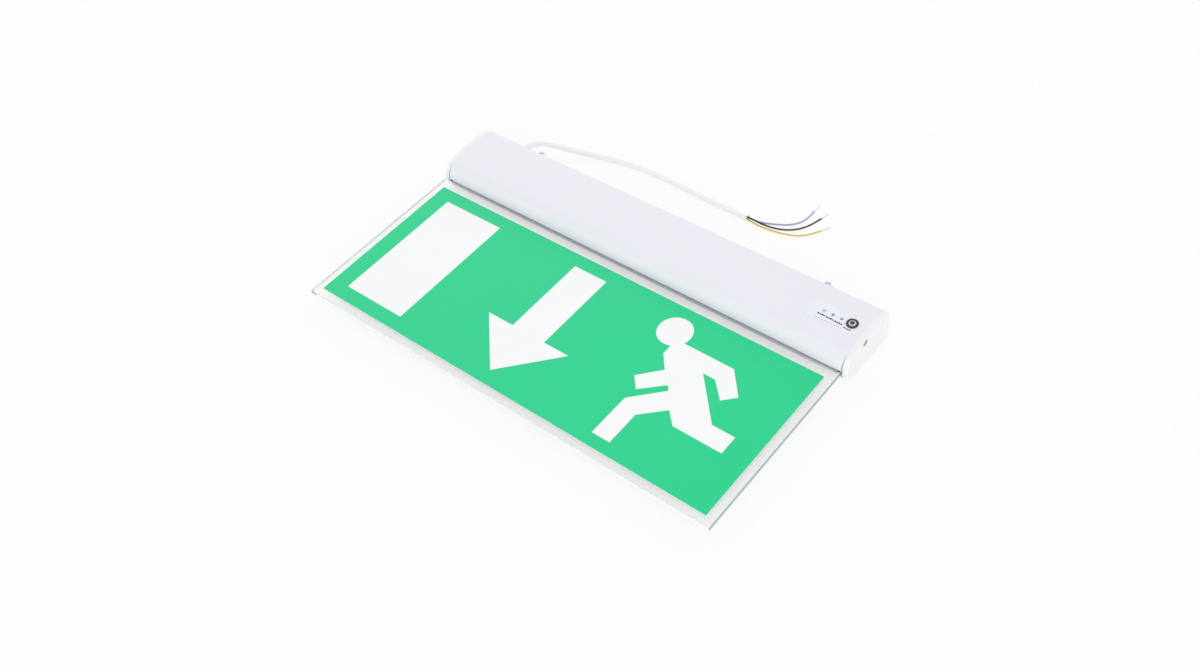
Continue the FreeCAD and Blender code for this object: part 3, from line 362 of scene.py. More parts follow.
def tube(path, radius, sides):
    """A round tube: at each point of the path a ring whose points are the centre plus the radius times the
    cosine along one cross vector and the sine along the other. The angle falls round the ring, so that the
    faces point outward, and rings of nearly no radius close both ends."""
    level, rise = frames_along(path)
    turn = np.linspace(math.tau, 0.0, sides, endpoint=False)
    path = np.concatenate([path[:1], path, path[-1:]])
    level = np.concatenate([level[:1], level, level[-1:]])
    rise = np.concatenate([rise[:1], rise, rise[-1:]])
    radii = np.full(len(path), radius)
    radii[[0, -1]] = radius * TUBE_END
    ring = np.cos(turn)[None, :, None] * level[:, None, :] + np.sin(turn)[None, :, None] * rise[:, None, :]
    return path[:, None, :] + radii[:, None, None] * ring


def twisted_strands(start, direction, bundle, pitch):
    """The strands of one bared end as tubes, each a third of the bundle thick: six whose centres run on a
    circle of two thirds of the bundle's radius, turning once in each pitch, then a straight middle one."""
    along = np.linspace(0.0, 1.0, STRAND_STEPS)
    side = np.cross(direction, np.array([0.0, 0.0, 1.0]))
    side /= np.linalg.norm(side)
    up = np.cross(side, direction)
    thin = bundle / 6.0
    strands = []
    for strand in range(OUTER_STRANDS + 1):
        swing = 2.0 * thin if strand < OUTER_STRANDS else 0.0
        reach = STRAND_LENGTH * (1.0 - STRAND_UNEVEN * (strand % 3))
        angle = math.tau * strand / OUTER_STRANDS + math.tau * along * reach / pitch
        path = start + np.outer(along * reach, direction)
        path = path + swing * (np.outer(np.cos(angle), side) + np.outer(np.sin(angle), up))
        strands.append(tube(path, thin, STRAND_SIDES))
    return strands


def polished_edge(start, end, out):
    """One free edge of the blade as a grid: even steps along it, and across the sheet's thickness a crown.
    Its height is the foot plus the crown's rise times one less the fourth power of the distance from the
    middle, with the sheet's corners at a distance of one."""
    along, across = np.meshgrid(
        np.linspace(0.0, 1.0, EDGE_STEPS), np.linspace(1.0, -1.0, EDGE_STEPS_ACROSS), indexing="ij"
    )
    middle = (BLADE_LOW[2] + BLADE_TOP[2]) / 2.0
    half = (BLADE_TOP[2] - BLADE_LOW[2]) / 2.0
    proud = EDGE_FOOT + EDGE_CROWN * (1.0 - across**4)
    x = start[0] + (end[0] - start[0]) * along + out[0] * proud
    y = start[1] + (end[1] - start[1]) * along + out[1] * proud
    return np.stack([x, y, middle + half * across], axis=-1)


def bowed_front(up_y, proud):
    """Height of the housing's bowed front at a distance along Y: the height of the circle's centre plus the
    root of the radius with the given amount added, squared, less the squared distance from the crown."""
    radius = FRONT_RADIUS + proud
    return HOUSING_TOP[2] - FRONT_RADIUS + np.sqrt(radius**2 - (up_y - CROWN_Y) ** 2)


def printed_bar(left, right, low, top, proud):
    """One printed bar as a grid that follows the bowed front: even steps in X and Y, with each height the
    front's own circle made larger by the label and the print."""
    across, up = np.linspace(left, right, BAR_COLUMNS), np.linspace(low, top, BAR_ROWS)
    x, y = np.meshgrid(across, up, indexing="xy")
    return np.stack([x, y, bowed_front(y, proud)], axis=-1)


def bar_row(first, pitch, width, count, low, high):
    """A row of like bars at even steps, each as left, right, low and top."""
    lefts = [first + bar * pitch for bar in range(count)]
    return [(left, left + width, low, low + high) for left in lefts]


def indicator_marks():
    """The bars under the three indicators, each as left, right, low and top; each set stands a little lower
    than the one on its left."""
    bars = []
    for place in (-1, 0, 1):
        first = LIGHT_X + place * LIGHT_PITCH - MARK_FROM_LIGHT
        foot = MARK_FOOT - place * MARK_DROP
        for bar in range(MARK_COUNT):
            left = first + bar * MARK_PITCH
            bars.append((left, left + MARK_WIDTHS[bar % 2], foot, foot + MARK_HEIGHTS[bar % 2]))
    return bars


# ------------------------------------------------------------------------------------------------
# Shader nodes
# ------------------------------------------------------------------------------------------------


def feed(tree, socket, given):
    """Links a given socket to an input, or sets the input's own number or colour."""
    if isinstance(given, bpy.types.NodeSocket):
        tree.links.new(given, socket)
    elif isinstance(given, float):
        socket.default_value = given
    else:
        socket.default_value = (*given[:3], 1.0)


def noise(tree, vector, scale, detail, roughness):
    """A noise texture on the given coordinates; its scale is a number or a socket."""
    node = tree.nodes.new("ShaderNodeTexNoise")
    node.inputs["Detail"].default_value = detail
    node.inputs["Roughness"].default_value = roughness
    feed(tree, node.inputs["Scale"], scale)
    tree.links.new(vector, node.inputs["Vector"])
    return node.outputs["Fac"]


def math_node(tree, operation, *values):
    """One Math node; each value is a number or a socket."""
    node = tree.nodes.new("ShaderNodeMath")
    node.operation = operation
    for socket, value in zip(node.inputs, values):
        feed(tree, socket, value)
    return node.outputs[0]


def spread(tree, value, low, high, out_low, out_high):
    """A clamped Map Range node from low to high onto two numbers or sockets."""
    node = tree.nodes.new("ShaderNodeMapRange")
    node.clamp = True
    names = ("Value", "From Min", "From Max", "To Min", "To Max")
    for name, given in zip(names, (value, low, high, out_low, out_high)):
        feed(tree, node.inputs[name], given)
    return node.outputs["Result"]


def mix_colour(tree, amount, first, second, kind="MIX"):
    """A colour mix; the amount is a number or a socket, and each colour is a tuple or a socket."""
    node = tree.nodes.new("ShaderNodeMix")
    node.data_type = "RGBA"
    node.blend_type = kind
    for socket, given in ((0, amount), (6, first), (7, second)):
        feed(tree, node.inputs[socket], given)
    return node.outputs[2]


def mix_shaders(tree, amount, first, second):
    """The material's surface: a mix of two shaders by a socket."""
    choice = tree.nodes.new("ShaderNodeMixShader")
    for socket, given in enumerate((amount, first.outputs[0], second.outputs[0])):
        tree.links.new(given, choice.inputs[socket])
    tree.links.new(choice.outputs[0], tree.nodes["Material Output"].inputs["Surface"])


def split(tree, vector):
    """The X, Y and Z of a vector, as sockets."""
    node = tree.nodes.new("ShaderNodeSeparateXYZ")
    tree.links.new(vector, node.inputs[0])
    return tuple(node.outputs)


def distance(tree, *pairs):
    """The root of the sum of two squared differences; each pair is a socket and a number taken off it."""
    away = [math_node(tree, "SUBTRACT", value, middle) for value, middle in pairs]
    squares = [math_node(tree, "POWER", value, 2.0) for value in away]
    return math_node(tree, "SQRT", math_node(tree, "ADD", *squares))


def new_group(name, inputs, outputs):
    """An empty shader node group with its sockets: (name, kind, default) in and (name, kind) out."""
    group = bpy.data.node_groups.new(name, "ShaderNodeTree")
    for socket, kind, default in inputs:
        made = group.interface.new_socket(name=socket, in_out="INPUT", socket_type=kind)
        made.default_value = default
    for socket, kind in outputs:
        group.interface.new_socket(name=socket, in_out="OUTPUT", socket_type=kind)
    return group, group.nodes.new("NodeGroupInput"), group.nodes.new("NodeGroupOutput")


def build_finish_group():
    """Finish: a fine grain, a slow mottle and a thin film of dust for coats, mouldings, films and metal."""
    group, given, put = new_group(
        "Surface finish",
        [
            ("Vector", "NodeSocketVector", (0.0, 0.0, 0.0)),
            ("Colour", "NodeSocketColor", (0.8, 0.8, 0.8, 1.0)),
            ("Roughness", "NodeSocketFloat", 0.4),
            ("Grain scale", "NodeSocketFloat", 1500.0),
            ("Grain", "NodeSocketFloat", 0.5),
            ("Mottle", "NodeSocketFloat", 0.03),
            ("Dust", "NodeSocketFloat", 0.05),
        ],
        [("Colour", "NodeSocketColor"), ("Roughness", "NodeSocketFloat"), ("Height", "NodeSocketFloat")],
    )
    asked = given.outputs
    grain = noise(group, asked["Vector"], scale=asked["Grain scale"], detail=3.0, roughness=0.55)
    slow = noise(group, asked["Vector"], scale=22.0, detail=4.0, roughness=0.6)
    dust = noise(group, asked["Vector"], scale=260.0, detail=5.0, roughness=0.7)
    shade = spread(group, slow, *SLOW_BAND, math_node(group, "SUBTRACT", 1.0, asked["Mottle"]), 1.0)
    tone = group.nodes.new("ShaderNodeCombineColor")
    for channel in range(3):
        group.links.new(shade, tone.inputs[channel])
    toned = mix_colour(group, 1.0, asked["Colour"], tone.outputs[0], "MULTIPLY")
    speck = spread(group, dust, *DUST_BAND, 0.0, asked["Dust"])
    change = spread(group, slow, *SLOW_BAND, *ROUGHNESS_SWING)
    rough = math_node(group, "ADD", asked["Roughness"], change)
    dusty = math_node(group, "ADD", rough, math_node(group, "MULTIPLY", speck, DUST_ROUGHNESS))
    group.links.new(mix_colour(group, speck, toned, DUST_COLOUR), put.inputs["Colour"])
    group.links.new(dusty, put.inputs["Roughness"])
    group.links.new(math_node(group, "MULTIPLY", grain, asked["Grain"]), put.inputs["Height"])
    return group


FINISH = build_finish_group()


# ------------------------------------------------------------------------------------------------
# Materials
# ------------------------------------------------------------------------------------------------


def new_material(name):
    """A material with its node tree, its Principled shader and its Object coordinates."""
    made = bpy.data.materials.new(name)
    made.use_nodes = True
    shader = made.node_tree.nodes["Principled BSDF"]
    coordinates = made.node_tree.nodes.new("ShaderNodeTexCoord")
    return made, made.node_tree, shader, coordinates.outputs["Object"]


def add_finish(tree, place, roughness, grain_scale, grain, mottle, dust):
    """The shared finish on the given coordinates, with its own values."""
    finish = tree.nodes.new("ShaderNodeGroup")
    finish.node_tree = FINISH
    tree.links.new(place, finish.inputs["Vector"])
    names = ("Roughness", "Grain scale", "Grain", "Mottle", "Dust")
    for name, value in zip(names, (roughness, grain_scale, grain, mottle, dust)):
        finish.inputs[name].default_value = value
    return finish


def finished(name, base, roughness, grain_scale, grain, bump, mottle, dust, **fixed):
    """A material from the shared finish. The base is a colour, or a function that makes a socket; the bump
    is the grain's height in millimetres; fixed gives the shader's own values."""
    made, tree, shader, place = new_material(name)
    finish = add_finish(tree, place, roughness, grain_scale, grain, mottle, dust)
    feed(tree, finish.inputs["Colour"], base(tree, place) if callable(base) else base)
    tree.links.new(finish.outputs["Colour"], shader.inputs["Base Color"])
    tree.links.new(finish.outputs["Roughness"], shader.inputs["Roughness"])
    lift = tree.nodes.new("ShaderNodeBump")
    lift.inputs["Strength"].default_value = BUMP_STRENGTH
    lift.inputs["Distance"].default_value = bump * MM
    tree.links.new(finish.outputs["Height"], lift.inputs["Height"])
    tree.links.new(lift.outputs["Normal"], shader.inputs["Normal"])
    for socket, value in fixed.items():
        shader.inputs[socket.replace("_", " ")].default_value = value
    return made


def dress(material, *names):
    """Gives the named pieces one material."""
    for name in names:
        piece = bpy.data.objects[name]
        piece.data.materials.clear()
        piece.data.materials.append(material)


def clear_acrylic(tint):
    """The clear sheet: it transmits what is seen through it; shadow and diffuse rays pass it straight."""
    made, tree, shader, place = new_material("clear_acrylic")
    shader.inputs["Base Color"].default_value = (*tint, 1.0)
    shader.inputs["Transmission Weight"].default_value = 1.0
    shader.inputs["IOR"].default_value = ACRYLIC_INDEX
    finish = add_finish(tree, place, roughness=0.05, grain_scale=60.0, grain=0.2, mottle=0.03, dust=0.04)
    tree.links.new(finish.outputs["Roughness"], shader.inputs["Roughness"])
    through = tree.nodes.new("ShaderNodeBsdfTransparent")
    through.inputs["Color"].default_value = (*THROUGH_TINT, 1.0)
    ray = tree.nodes.new("ShaderNodeLightPath").outputs
    straight = math_node(tree, "MAXIMUM", ray["Is Shadow Ray"], ray["Is Diffuse Ray"])
    mix_shaders(tree, straight, shader, through)
    return made


def edge_reflection_and_shade(front, side):
    """Painted light on the polished edges: the front edge's pale colour is a painted reflection of the pale
    surface below, and beyond the sheet's own half length either way the side edges' darker colour is painted
    shade, which shows only from outside; through the sheet, every polished face shows the painted reflection
    instead."""

    def make(tree, place):
        x = split(tree, place)[0]
        beyond = math_node(tree, "GREATER_THAN", math_node(tree, "ABSOLUTE", x), BLADE_TOP[0])
        inside = tree.nodes.new("ShaderNodeNewGeometry").outputs["Backfacing"]
        # painted shade on the side edges from outside, painted reflection wherever a face is seen through
        # the sheet
        shown = math_node(tree, "MULTIPLY", beyond, math_node(tree, "SUBTRACT", 1.0, inside))
        return mix_colour(tree, shown, front, side)

    return make


def dark_centre(rim, centre):
    """The button's colour with a darker middle, by the distance from the button's axis."""

    def make(tree, place):
        x, y = split(tree, place)[:2]
        away = distance(tree, (x, BUTTON_X), (y, BUTTON_Y))
        start = BUTTON_CENTRE_RADIUS * (1.0 - BUTTON_CENTRE_SOFT)
        stop = BUTTON_CENTRE_RADIUS * (1.0 + BUTTON_CENTRE_SOFT)
        return mix_colour(tree, spread(tree, away, start, stop, 0.0, 1.0), centre, rim)

    return make


def seam_shaded(base):
    """A base colour with painted shade along the seams at the housing's ends, the shadow of the gap there,
    fading out away from the lip.
    """

    def make(tree, place):
        x, y = split(tree, place)[:2]
        past_end = math_node(tree, "SUBTRACT", math_node(tree, "ABSOLUTE", x), SEAM_X)
        # painted shade: a thin dark line where the housing meets its end caps, darkest at the lip
        in_seam = math_node(tree, "LESS_THAN", math_node(tree, "ABSOLUTE", past_end), SEAM_HALF)
        fade = spread(tree, y, SEAM_TOP - SEAM_FADE, SEAM_TOP, 1.0, 0.0)
        return mix_colour(tree, math_node(tree, "MULTIPLY", in_seam, fade), base, SHADOW)

    return make


def counterbore_shaded(base):
    """The seam-shaded base, with painted shade within the counterbore's radius of the cap screw's axis, on
    the counterbore's wall and rim.
    """

    def make(tree, place):
        seam = seam_shaded(base)(tree, place)
        y, z = split(tree, place)[1:]
        away = distance(tree, (y, SCREW_Y), (z, SCREW_Z))
        # painted shade round the cap screw, in its counterbore
        return mix_colour(tree, math_node(tree, "LESS_THAN", away, COUNTERBORE_RADIUS), seam, SHADOW)

    return make


def earth_stripes(green, yellow):
    """A green stripe along the yellow core, placed round it by the cord's own UV map."""

    def make(tree, place):
        across = split(tree, tree.nodes.new("ShaderNodeUVMap").outputs["UV"])[1]
        turned = math_node(tree, "FRACT", math_node(tree, "ADD", across, STRIPE_TURN))
        away = math_node(tree, "ABSOLUTE", math_node(tree, "SUBTRACT", turned, 0.5))
        return mix_colour(tree, math_node(tree, "LESS_THAN", away, STRIPE_HALF), yellow, green)

    return make


# ------------------------------------------------------------------------------------------------
# Flex and cores
# ------------------------------------------------------------------------------------------------


def add_cord(name, route, diameter):
    """A NURBS curve with the route's control points, round with the given diameter, closed at both ends."""
    curve = bpy.data.curves.new(name, "CURVE")
    curve.dimensions = "3D"
    spline = curve.splines.new("NURBS")
    spline.points.add(len(route) - 1)
    for point, place in zip(spline.points, route):
        point.co = (*(value * MM for value in place), 1.0)
    spline.order_u = SPLINE_ORDER
    spline.use_endpoint_u = True
    spline.resolution_u = SPLINE_STEPS
    curve.bevel_depth = diameter / 2.0
    curve.bevel_resolution = ROUND_STEPS
    curve.use_fill_caps = True
    made = bpy.data.objects.new(name, curve)
    bpy.context.scene.collection.objects.link(made)
    return made


class EXITLIGHT_OT_flex(bpy.types.Operator):
    """Lays the white three-core flex from its grommet to where its sheath is cut"""

    bl_idname = "exit_light.flex"
    bl_label = "Mains flex"

    def execute(self, context):
        sizes, colours = context.scene.exit_light_sizes, context.scene.exit_light_colours
        flex = add_cord("mains_flex_sheath", FLEX_ROUTE, sizes.sheath_diameter)
        sheath = finished(
            "white_sheath", colours.sheath,
            roughness=0.42, grain_scale=900.0, grain=0.3, bump=0.008, mottle=0.01, dust=0.0,
            Coat_Weight=0.06,
        )
        flex.data.materials.append(sheath)
        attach(flex, "light")
        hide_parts("mains_flex")
        return {"FINISHED"}


class EXITLIGHT_OT_cores(bpy.types.Operator):
    """Lays the three insulated cores that leave the flex and fan out over the table"""

    bl_idname = "exit_light.cores"
    bl_label = "Cores"

    def execute(self, context):
        sizes, colours = context.scene.exit_light_sizes, context.scene.exit_light_colours
        copper = finished(
            "copper", colours.copper,
            roughness=0.26, grain_scale=3000.0, grain=0.4, bump=0.01, mottle=0.12, dust=0.0,
            Metallic=1.0,
        )
        looks = {
            "neutral": ("blue_core", colours.neutral),
            "live": ("brown_core", colours.live),
            "earth": ("green_yellow_core", earth_stripes(colours.earth_green, colours.earth_yellow)),
        }
        for name, route, long in CORES:
            slot, base = looks[name]
            core = add_cord(name + "_core_insulation", route, sizes.core_diameter)
            insulation = finished(
                slot, base,
                roughness=0.34, grain_scale=900.0, grain=0.4, bump=0.02, mottle=0.02, dust=0.02,
                Coat_Weight=0.1,
            )
            core.data.materials.append(insulation)
            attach(core, "light")
            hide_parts(name + "_core")
            strands = self.bared_end(name + "_core_strands", route, sizes)
            strands.data.materials.append(copper)
            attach(strands, "light")
            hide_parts(name + "_core_end")
        return {"FINISHED"}

    def bared_end(self, name, route, sizes):
        """Adds the twisted strands that go on straight from the end of a core's route."""
        tip = np.array(route[-1]) * MM
        ahead = tip - np.array(route[-2]) * MM
        ahead = ahead / np.linalg.norm(ahead)
        strands = twisted_strands(tip, ahead, sizes.strand_bundle, sizes.strand_twist)
        return add_grids(name, strands, wrap=True)


# ------------------------------------------------------------------------------------------------
# Housing, blade and legend
# ------------------------------------------------------------------------------------------------


class EXITLIGHT_OT_housing(bpy.types.Operator):
    """Finishes the extruded housing, its two moulded end caps and the flex's grommet"""

    bl_idname = "exit_light.housing"
    bl_label = "Housing"

    def execute(self, context):
        colours = context.scene.exit_light_colours
        powder = finished(
            # the powder coat's colour, with painted shade along the seams
            "white_powder_coat", seam_shaded(colours.powder),
            roughness=0.36, grain_scale=1300.0, grain=0.7, bump=0.05, mottle=0.015, dust=0.02,
            Coat_Weight=0.06, Coat_Roughness=0.2, Specular_IOR_Level=0.35,
        )
        dress(powder, "housing_profile")
        moulding = finished(
            # the end caps' colour, with painted shade in the seams and round the cap screws
            "white_moulding", counterbore_shaded(colours.moulding),
            roughness=0.33, grain_scale=2600.0, grain=0.5, bump=0.03, mottle=0.015, dust=0.02,
            Coat_Weight=0.1,
        )
        dress(moulding, "left_end_cap", "right_end_cap")
        rubber = finished(
            "white_rubber", colours.sheath,
            roughness=0.5, grain_scale=1600.0, grain=0.5, bump=0.04, mottle=0.03, dust=0.04,
        )
        dress(rubber, "flex_grommet")
        return {"FINISHED"}


class EXITLIGHT_OT_blade(bpy.types.Operator):
    """Finishes the blade, its gasket and the legend's films, and adds the blade's polished edges"""

    bl_idname = "exit_light.blade"
    bl_label = "Blade and legend"

    def execute(self, context):
        colours = context.scene.exit_light_colours
        dress(clear_acrylic(colours.acrylic), "blade")
        green = finished(
            "green_film", colours.green,
            roughness=0.34, grain_scale=420.0, grain=0.4, bump=0.02, mottle=0.02, dust=0.0,
            Specular_IOR_Level=0.3,
        )
        dress(green, "legend_green_film")
        white = finished(
            "white_film", colours.opal,
            roughness=0.34, grain_scale=420.0, grain=0.4, bump=0.02, mottle=0.01, dust=0.0,
            Specular_IOR_Level=0.3,
        )
        dress(white, "legend_white_film")
        silicone = finished(
            "clear_silicone", colours.silicone,
            roughness=0.45, grain_scale=700.0, grain=0.5, bump=0.05, mottle=0.03, dust=0.05,
        )
        dress(silicone, "blade_gasket")
        self.polish_edges(colours)
        return {"FINISHED"}

    def polish_edges(self, colours):
        """Adds the polished faces of the three free edges, crowned a little across the thickness."""
        corners = (
            (BLADE_LOW[0], EDGE_STOP),
            (BLADE_LOW[0], BLADE_LOW[1]),
            (BLADE_TOP[0], BLADE_LOW[1]),
            (BLADE_TOP[0], EDGE_STOP),
        )
        outs = ((-1.0, 0.0), (0.0, -1.0), (1.0, 0.0))
        grids = [polished_edge(*edge) for edge in zip(corners[:-1], corners[1:], outs)]
        piece = add_grids("blade_polished_edges", grids)
        polish = finished(
            # painted reflection on the front edge and painted shade on the side edges
            "polished_edge", edge_reflection_and_shade(colours.edge_front_reflection, colours.edge_side_shade),
            roughness=0.2, grain_scale=900.0, grain=0.3, bump=0.01, mottle=0.04, dust=0.02,
        )
        piece.data.materials.append(polish)
        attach(piece, "light")


# ------------------------------------------------------------------------------------------------
# Controls
# ------------------------------------------------------------------------------------------------


class EXITLIGHT_OT_controls(bpy.types.Operator):
    """Finishes the control label, its indicators and the test button, and prints the label's marks"""

    bl_idname = "exit_light.controls"
    bl_label = "Controls"

    def execute(self, context):
        sizes, colours = context.scene.exit_light_sizes, context.scene.exit_light_colours
        film = finished(
            "label_film", colours.label,
            roughness=0.26, grain_scale=900.0, grain=0.3, bump=0.015, mottle=0.01, dust=0.02,
            Coat_Weight=0.2,
        )
        dress(film, "control_label")
        black = finished(
            "black_plastic", colours.black,
            roughness=0.3, grain_scale=2200.0, grain=0.5, bump=0.02, mottle=0.05, dust=0.03,
            Coat_Weight=0.15,
        )
        dress(black, "test_button_bezel", "test_button_nut", "test_switch_base")
        cap = finished(
            "grey_button", dark_centre(colours.button, colours.black),
            roughness=0.35, grain_scale=2200.0, grain=0.5, bump=0.02, mottle=0.03, dust=0.02,
        )
        dress(cap, "test_button_cap")
        for name, tint, pieces in (
            ("indicator_resin", colours.indicator, ("supply_indicator", "fault_indicator")),
            ("pale_indicator_resin", colours.pale_indicator, ("charge_indicator",)),
        ):
            resin = finished(
                name, tint,
                roughness=0.16, grain_scale=600.0, grain=0.2, bump=0.01, mottle=0.04, dust=0.0,
                Coat_Weight=0.5,
            )
            dress(resin, *pieces)
        self.print_bars(sizes, colours)
        return {"FINISHED"}

    def print_bars(self, sizes, colours):
        """Prints broken bars under the indicators and the button, and a thin pale rule below them."""
        button_row = bar_row(
            first=BUTTON_X - 3.4 * MM, pitch=1.9 * MM, width=1.6 * MM, count=3,
            low=LIP_Y + 21.8 * MM, high=0.7 * MM,
        )
        rule = bar_row(
            first=LIGHT_X - 9.4 * MM, pitch=2.3 * MM, width=1.7 * MM, count=9,
            low=LIP_Y + 20.5 * MM, high=0.35 * MM,
        )
        for name, bars, tint in (
            ("label_print", indicator_marks() + button_row, colours.print_dark),
            ("label_print_pale", rule, colours.print_pale),
        ):
            piece = add_grids(name, [printed_bar(*bar, LABEL_THICK + sizes.print_thick) for bar in bars])
            ink = finished(
                name + "_ink", tint,
                roughness=0.4, grain_scale=2500.0, grain=0.3, bump=0.005, mottle=0.08, dust=0.0,
            )
            piece.data.materials.append(ink)
            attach(piece, "light")


# ------------------------------------------------------------------------------------------------
# Metal fittings and inner parts
# ------------------------------------------------------------------------------------------------

# Each row: the material's name, its linear colour, its finish, and the pieces that have it
INNER_PARTS = (
    (
        "green_board", (0.012, 0.10, 0.03),
        {"roughness": 0.32, "grain_scale": 2500.0, "grain": 0.6, "bump": 0.02,
         "mottle": 0.2, "dust": 0.03, "Coat_Weight": 0.3},
        ("indicator_board", "driver_board"),
    ),
    (
        "white_board", (0.82, 0.82, 0.80),
        {"roughness": 0.35, "grain_scale": 2500.0, "grain": 0.6, "bump": 0.02,
         "mottle": 0.05, "dust": 0.02},
        ("lamp_strip_board",),
    ),
    (
        "lamp_resin", (0.80, 0.66, 0.12),
        {"roughness": 0.3, "grain_scale": 2500.0, "grain": 0.5, "bump": 0.02,
         "mottle": 0.05, "dust": 0.0},
        ("lamp_strip_lamps",),
    ),
    (
        "white_nylon", (0.72, 0.71, 0.64),
        {"roughness": 0.45, "grain_scale": 1800.0, "grain": 0.5, "bump": 0.02,
         "mottle": 0.03, "dust": 0.03},
        ("indicator_spacers", "battery_socket"),
    ),
    (
        "green_terminal", (0.01, 0.16, 0.04),
        {"roughness": 0.4, "grain_scale": 1800.0, "grain": 0.5, "bump": 0.02,
         "mottle": 0.05, "dust": 0.03},
        ("terminal_block",),
    ),
    (
        "capacitor_sleeve", (0.012, 0.013, 0.02),
        {"roughness": 0.28, "grain_scale": 500.0, "grain": 0.4, "bump": 0.02,
         "mottle": 0.1, "dust": 0.03},
        ("smoothing_capacitor",),
    ),
    (
        "yellow_film_capacitor", (0.60, 0.36, 0.02),
        {"roughness": 0.35, "grain_scale": 900.0, "grain": 0.4, "bump": 0.02,
         "mottle": 0.08, "dust": 0.03},
        ("mains_capacitor",),
    ),
    (
        "ferrite", (0.03, 0.03, 0.034),
        {"roughness": 0.5, "grain_scale": 1200.0, "grain": 0.9, "bump": 0.05,
         "mottle": 0.2, "dust": 0.05},
        ("driver_transformer",),
    ),
    (
        "battery_sleeve", (0.62, 0.46, 0.02),
        {"roughness": 0.25, "grain_scale": 300.0, "grain": 0.5, "bump": 0.05,
         "mottle": 0.08, "dust": 0.02, "Coat_Weight": 0.3},
        ("battery_pack",),
    ),
    (
        "spring_steel", (0.55, 0.55, 0.57),
        {"roughness": 0.3, "grain_scale": 1600.0, "grain": 0.5, "bump": 0.02,
         "mottle": 0.1, "dust": 0.03, "Metallic": 1.0},
        ("battery_clips",),
    ),
)


class EXITLIGHT_OT_fittings(bpy.types.Operator):
    """Finishes the screws, the suspension eyes and their nuts"""

    bl_idname = "exit_light.fittings"
    bl_label = "Metal fittings"

    def execute(self, context):
        zinc = finished(
            "zinc_steel", context.scene.exit_light_colours.zinc,
            roughness=0.3, grain_scale=1800.0, grain=0.5, bump=0.02, mottle=0.12, dust=0.04,
            Metallic=1.0,
        )
        for side in ("left", "right"):
            dress(zinc, side + "_cap_screw", side + "_suspension_eye", side + "_eye_nut")
        return {"FINISHED"}


class EXITLIGHT_OT_inside(bpy.types.Operator):
    """Finishes the boards, the battery and the parts inside the housing"""

    bl_idname = "exit_light.inside"
    bl_label = "Inner parts"

    def execute(self, context):
        for name, tint, finish, pieces in INNER_PARTS:
            dress(finished(name, tint, **finish), *pieces)
        return {"FINISHED"}


# ------------------------------------------------------------------------------------------------
# Stage
# ------------------------------------------------------------------------------------------------


def add_floor(stage, paper):
    """A floor that is partly plain white to the eye and in mirrored rays, and by another share through the
    clear sheet; all other rays meet plain paper. A ray through the sheet counts as mirrored too, so it is
    taken off there."""
    half = stage.floor_half
    corners = np.array([[-half, -half, 0.0], [half, -half, 0.0], [half, half, 0.0], [-half, half, 0.0]])
    floor = add_mesh("floor", corners, np.array([[0, 1, 2, 3]]))
    made, tree, shader, place = new_material("floor_paper")
    shader.inputs["Base Color"].default_value = (*paper, 1.0)
    shader.inputs["Roughness"].default_value = PAPER_ROUGHNESS
    ray = tree.nodes.new("ShaderNodeLightPath").outputs
    mirrored = math_node(tree, "SUBTRACT", ray["Is Glossy Ray"], ray["Is Transmission Ray"])
    seen = math_node(tree, "MAXIMUM", ray["Is Camera Ray"], mirrored)
    seen = math_node(tree, "MULTIPLY", seen, stage.floor_glow)
    through = math_node(tree, "MULTIPLY", ray["Is Transmission Ray"], stage.floor_glow_through)
    glow = tree.nodes.new("ShaderNodeEmission")
    mix_shaders(tree, math_node(tree, "MAXIMUM", seen, through), shader, glow)
    floor.data.materials.append(made)


def add_sky(scene, stage):
    """A white sky: plain white to the eye and through the clear sheet. As a lamp its strength is the top's
    plus the rim's times the square of one less the height, and the rim's part falls from front to back."""
    world = bpy.data.worlds.new("studio_sky")
    scene.world = world
    world.use_nodes = True
    sky = world.node_tree
    background = sky.nodes["Background"]
    background.inputs["Color"].default_value = (1.0, 1.0, 1.0, 1.0)
    ray = sky.nodes.new("ShaderNodeLightPath").outputs
    seen = math_node(sky, "MAXIMUM", ray["Is Camera Ray"], ray["Is Transmission Ray"])
    y, z = split(sky, sky.nodes.new("ShaderNodeTexCoord").outputs["Generated"])[1:]
    side = math_node(sky, "MULTIPLY_ADD", y, -stage.sky_side, 1.0 - stage.sky_side)
    low = math_node(sky, "POWER", math_node(sky, "SUBTRACT", 1.0, math_node(sky, "ABSOLUTE", z)), 2.0)
    rim = math_node(sky, "MULTIPLY", math_node(sky, "MULTIPLY", low, side), stage.sky_rim)
    strength = math_node(sky, "ADD", rim, stage.sky_top)
    sky.links.new(spread(sky, seen, 0.0, 1.0, strength, 1.0), background.inputs["Strength"])


def add_lamp(scene, name, watts, place, size):
    """A round area lamp that aims at the origin."""
    lamp = bpy.data.lights.new(name, "AREA")
    lamp.energy = watts
    lamp.shape = "DISK"
    lamp.size = size
    holder = bpy.data.objects.new(name, lamp)
    scene.collection.objects.link(holder)
    holder.location = place
    holder.rotation_euler = (-Vector(place)).to_track_quat("-Z", "Y").to_euler()


def add_camera(scene, stage):
    """The camera, at its place and turn."""
    camera = bpy.data.cameras.new("camera")
    camera.sensor_width = SENSOR_WIDTH
    camera.lens = stage.lens
    camera.clip_start = NEAREST_SEEN
    holder = bpy.data.objects.new("camera", camera)
    scene.collection.objects.link(holder)
    turn = Euler(stage.camera_turn).to_matrix().to_4x4()
    holder.matrix_world = Matrix.Translation(stage.camera_place) @ turn
    scene.camera = holder


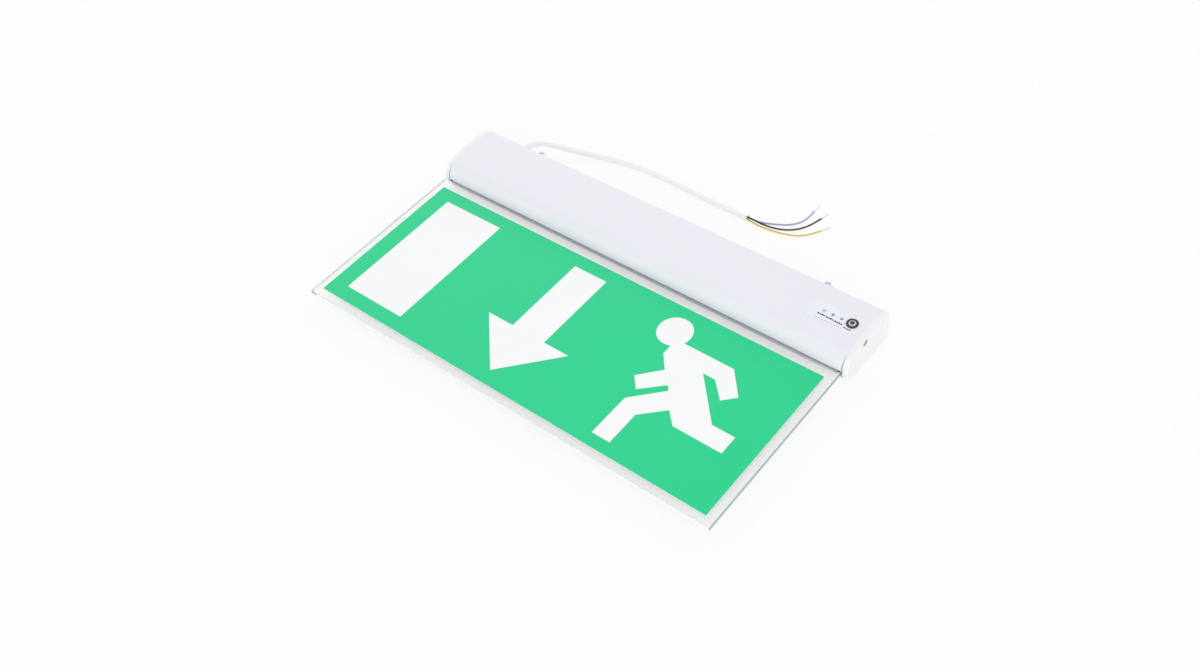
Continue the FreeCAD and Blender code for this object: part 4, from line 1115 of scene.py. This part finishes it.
class EXITLIGHT_OT_stage(bpy.types.Operator):
    """Sets the floor, the sky, the lamps and the camera"""

    bl_idname = "exit_light.stage"
    bl_label = "Stage"

    def execute(self, context):
        scene = context.scene
        stage = scene.exit_light_stage
        scene.view_settings.view_transform = "Standard"
        add_floor(stage, scene.exit_light_colours.paper)
        add_sky(scene, stage)
        add_lamp(scene, "key_lamp", stage.key_power, KEY_PLACE, KEY_SIZE)
        add_lamp(scene, "fill_lamp", stage.fill_power, FILL_PLACE, FILL_SIZE)
        add_lamp(scene, "back_lamp", stage.back_power, BACK_PLACE, BACK_SIZE)
        add_camera(scene, stage)
        return {"FINISHED"}


# ------------------------------------------------------------------------------------------------
# Panel and registration
# ------------------------------------------------------------------------------------------------


class EXITLIGHT_PT_panel(bpy.types.Panel):
    """Lists the exit light's pieces, sizes and colours"""

    bl_idname = "EXITLIGHT_PT_panel"
    bl_label = "Exit light"
    bl_space_type = "VIEW_3D"
    bl_region_type = "UI"
    bl_category = "Exit Light"

    def draw(self, context):
        scene = context.scene
        for operator in OPERATORS:
            self.layout.operator(operator.bl_idname)
        for group in (scene.exit_light_sizes, scene.exit_light_colours, scene.exit_light_stage):
            column = self.layout.column()
            for name in group.__annotations__:
                column.prop(group, name)


GROUPS = (ExitLightSizes, ExitLightColours, ExitLightStage)
OPERATORS = (
    EXITLIGHT_OT_stage,
    EXITLIGHT_OT_flex,
    EXITLIGHT_OT_cores,
    EXITLIGHT_OT_housing,
    EXITLIGHT_OT_blade,
    EXITLIGHT_OT_controls,
    EXITLIGHT_OT_fittings,
    EXITLIGHT_OT_inside,
)


def register():
    """Registers the classes and hangs the property groups on the scene."""
    for made in (*GROUPS, *OPERATORS, EXITLIGHT_PT_panel):
        bpy.utils.register_class(made)
    bpy.types.Scene.exit_light_sizes = bpy.props.PointerProperty(type=ExitLightSizes)
    bpy.types.Scene.exit_light_colours = bpy.props.PointerProperty(type=ExitLightColours)
    bpy.types.Scene.exit_light_stage = bpy.props.PointerProperty(type=ExitLightStage)


def unregister():
    """Takes the property groups off the scene and the classes out again."""
    del bpy.types.Scene.exit_light_stage
    del bpy.types.Scene.exit_light_colours
    del bpy.types.Scene.exit_light_sizes
    for made in reversed((*GROUPS, *OPERATORS, EXITLIGHT_PT_panel)):
        bpy.utils.unregister_class(made)


def main():
    """Builds every piece in order."""
    register()
    bpy.ops.exit_light.stage()
    bpy.ops.exit_light.flex()
    bpy.ops.exit_light.cores()
    bpy.ops.exit_light.housing()
    bpy.ops.exit_light.blade()
    bpy.ops.exit_light.controls()
    bpy.ops.exit_light.fittings()
    bpy.ops.exit_light.inside()


if __name__ == "__main__":
    main()
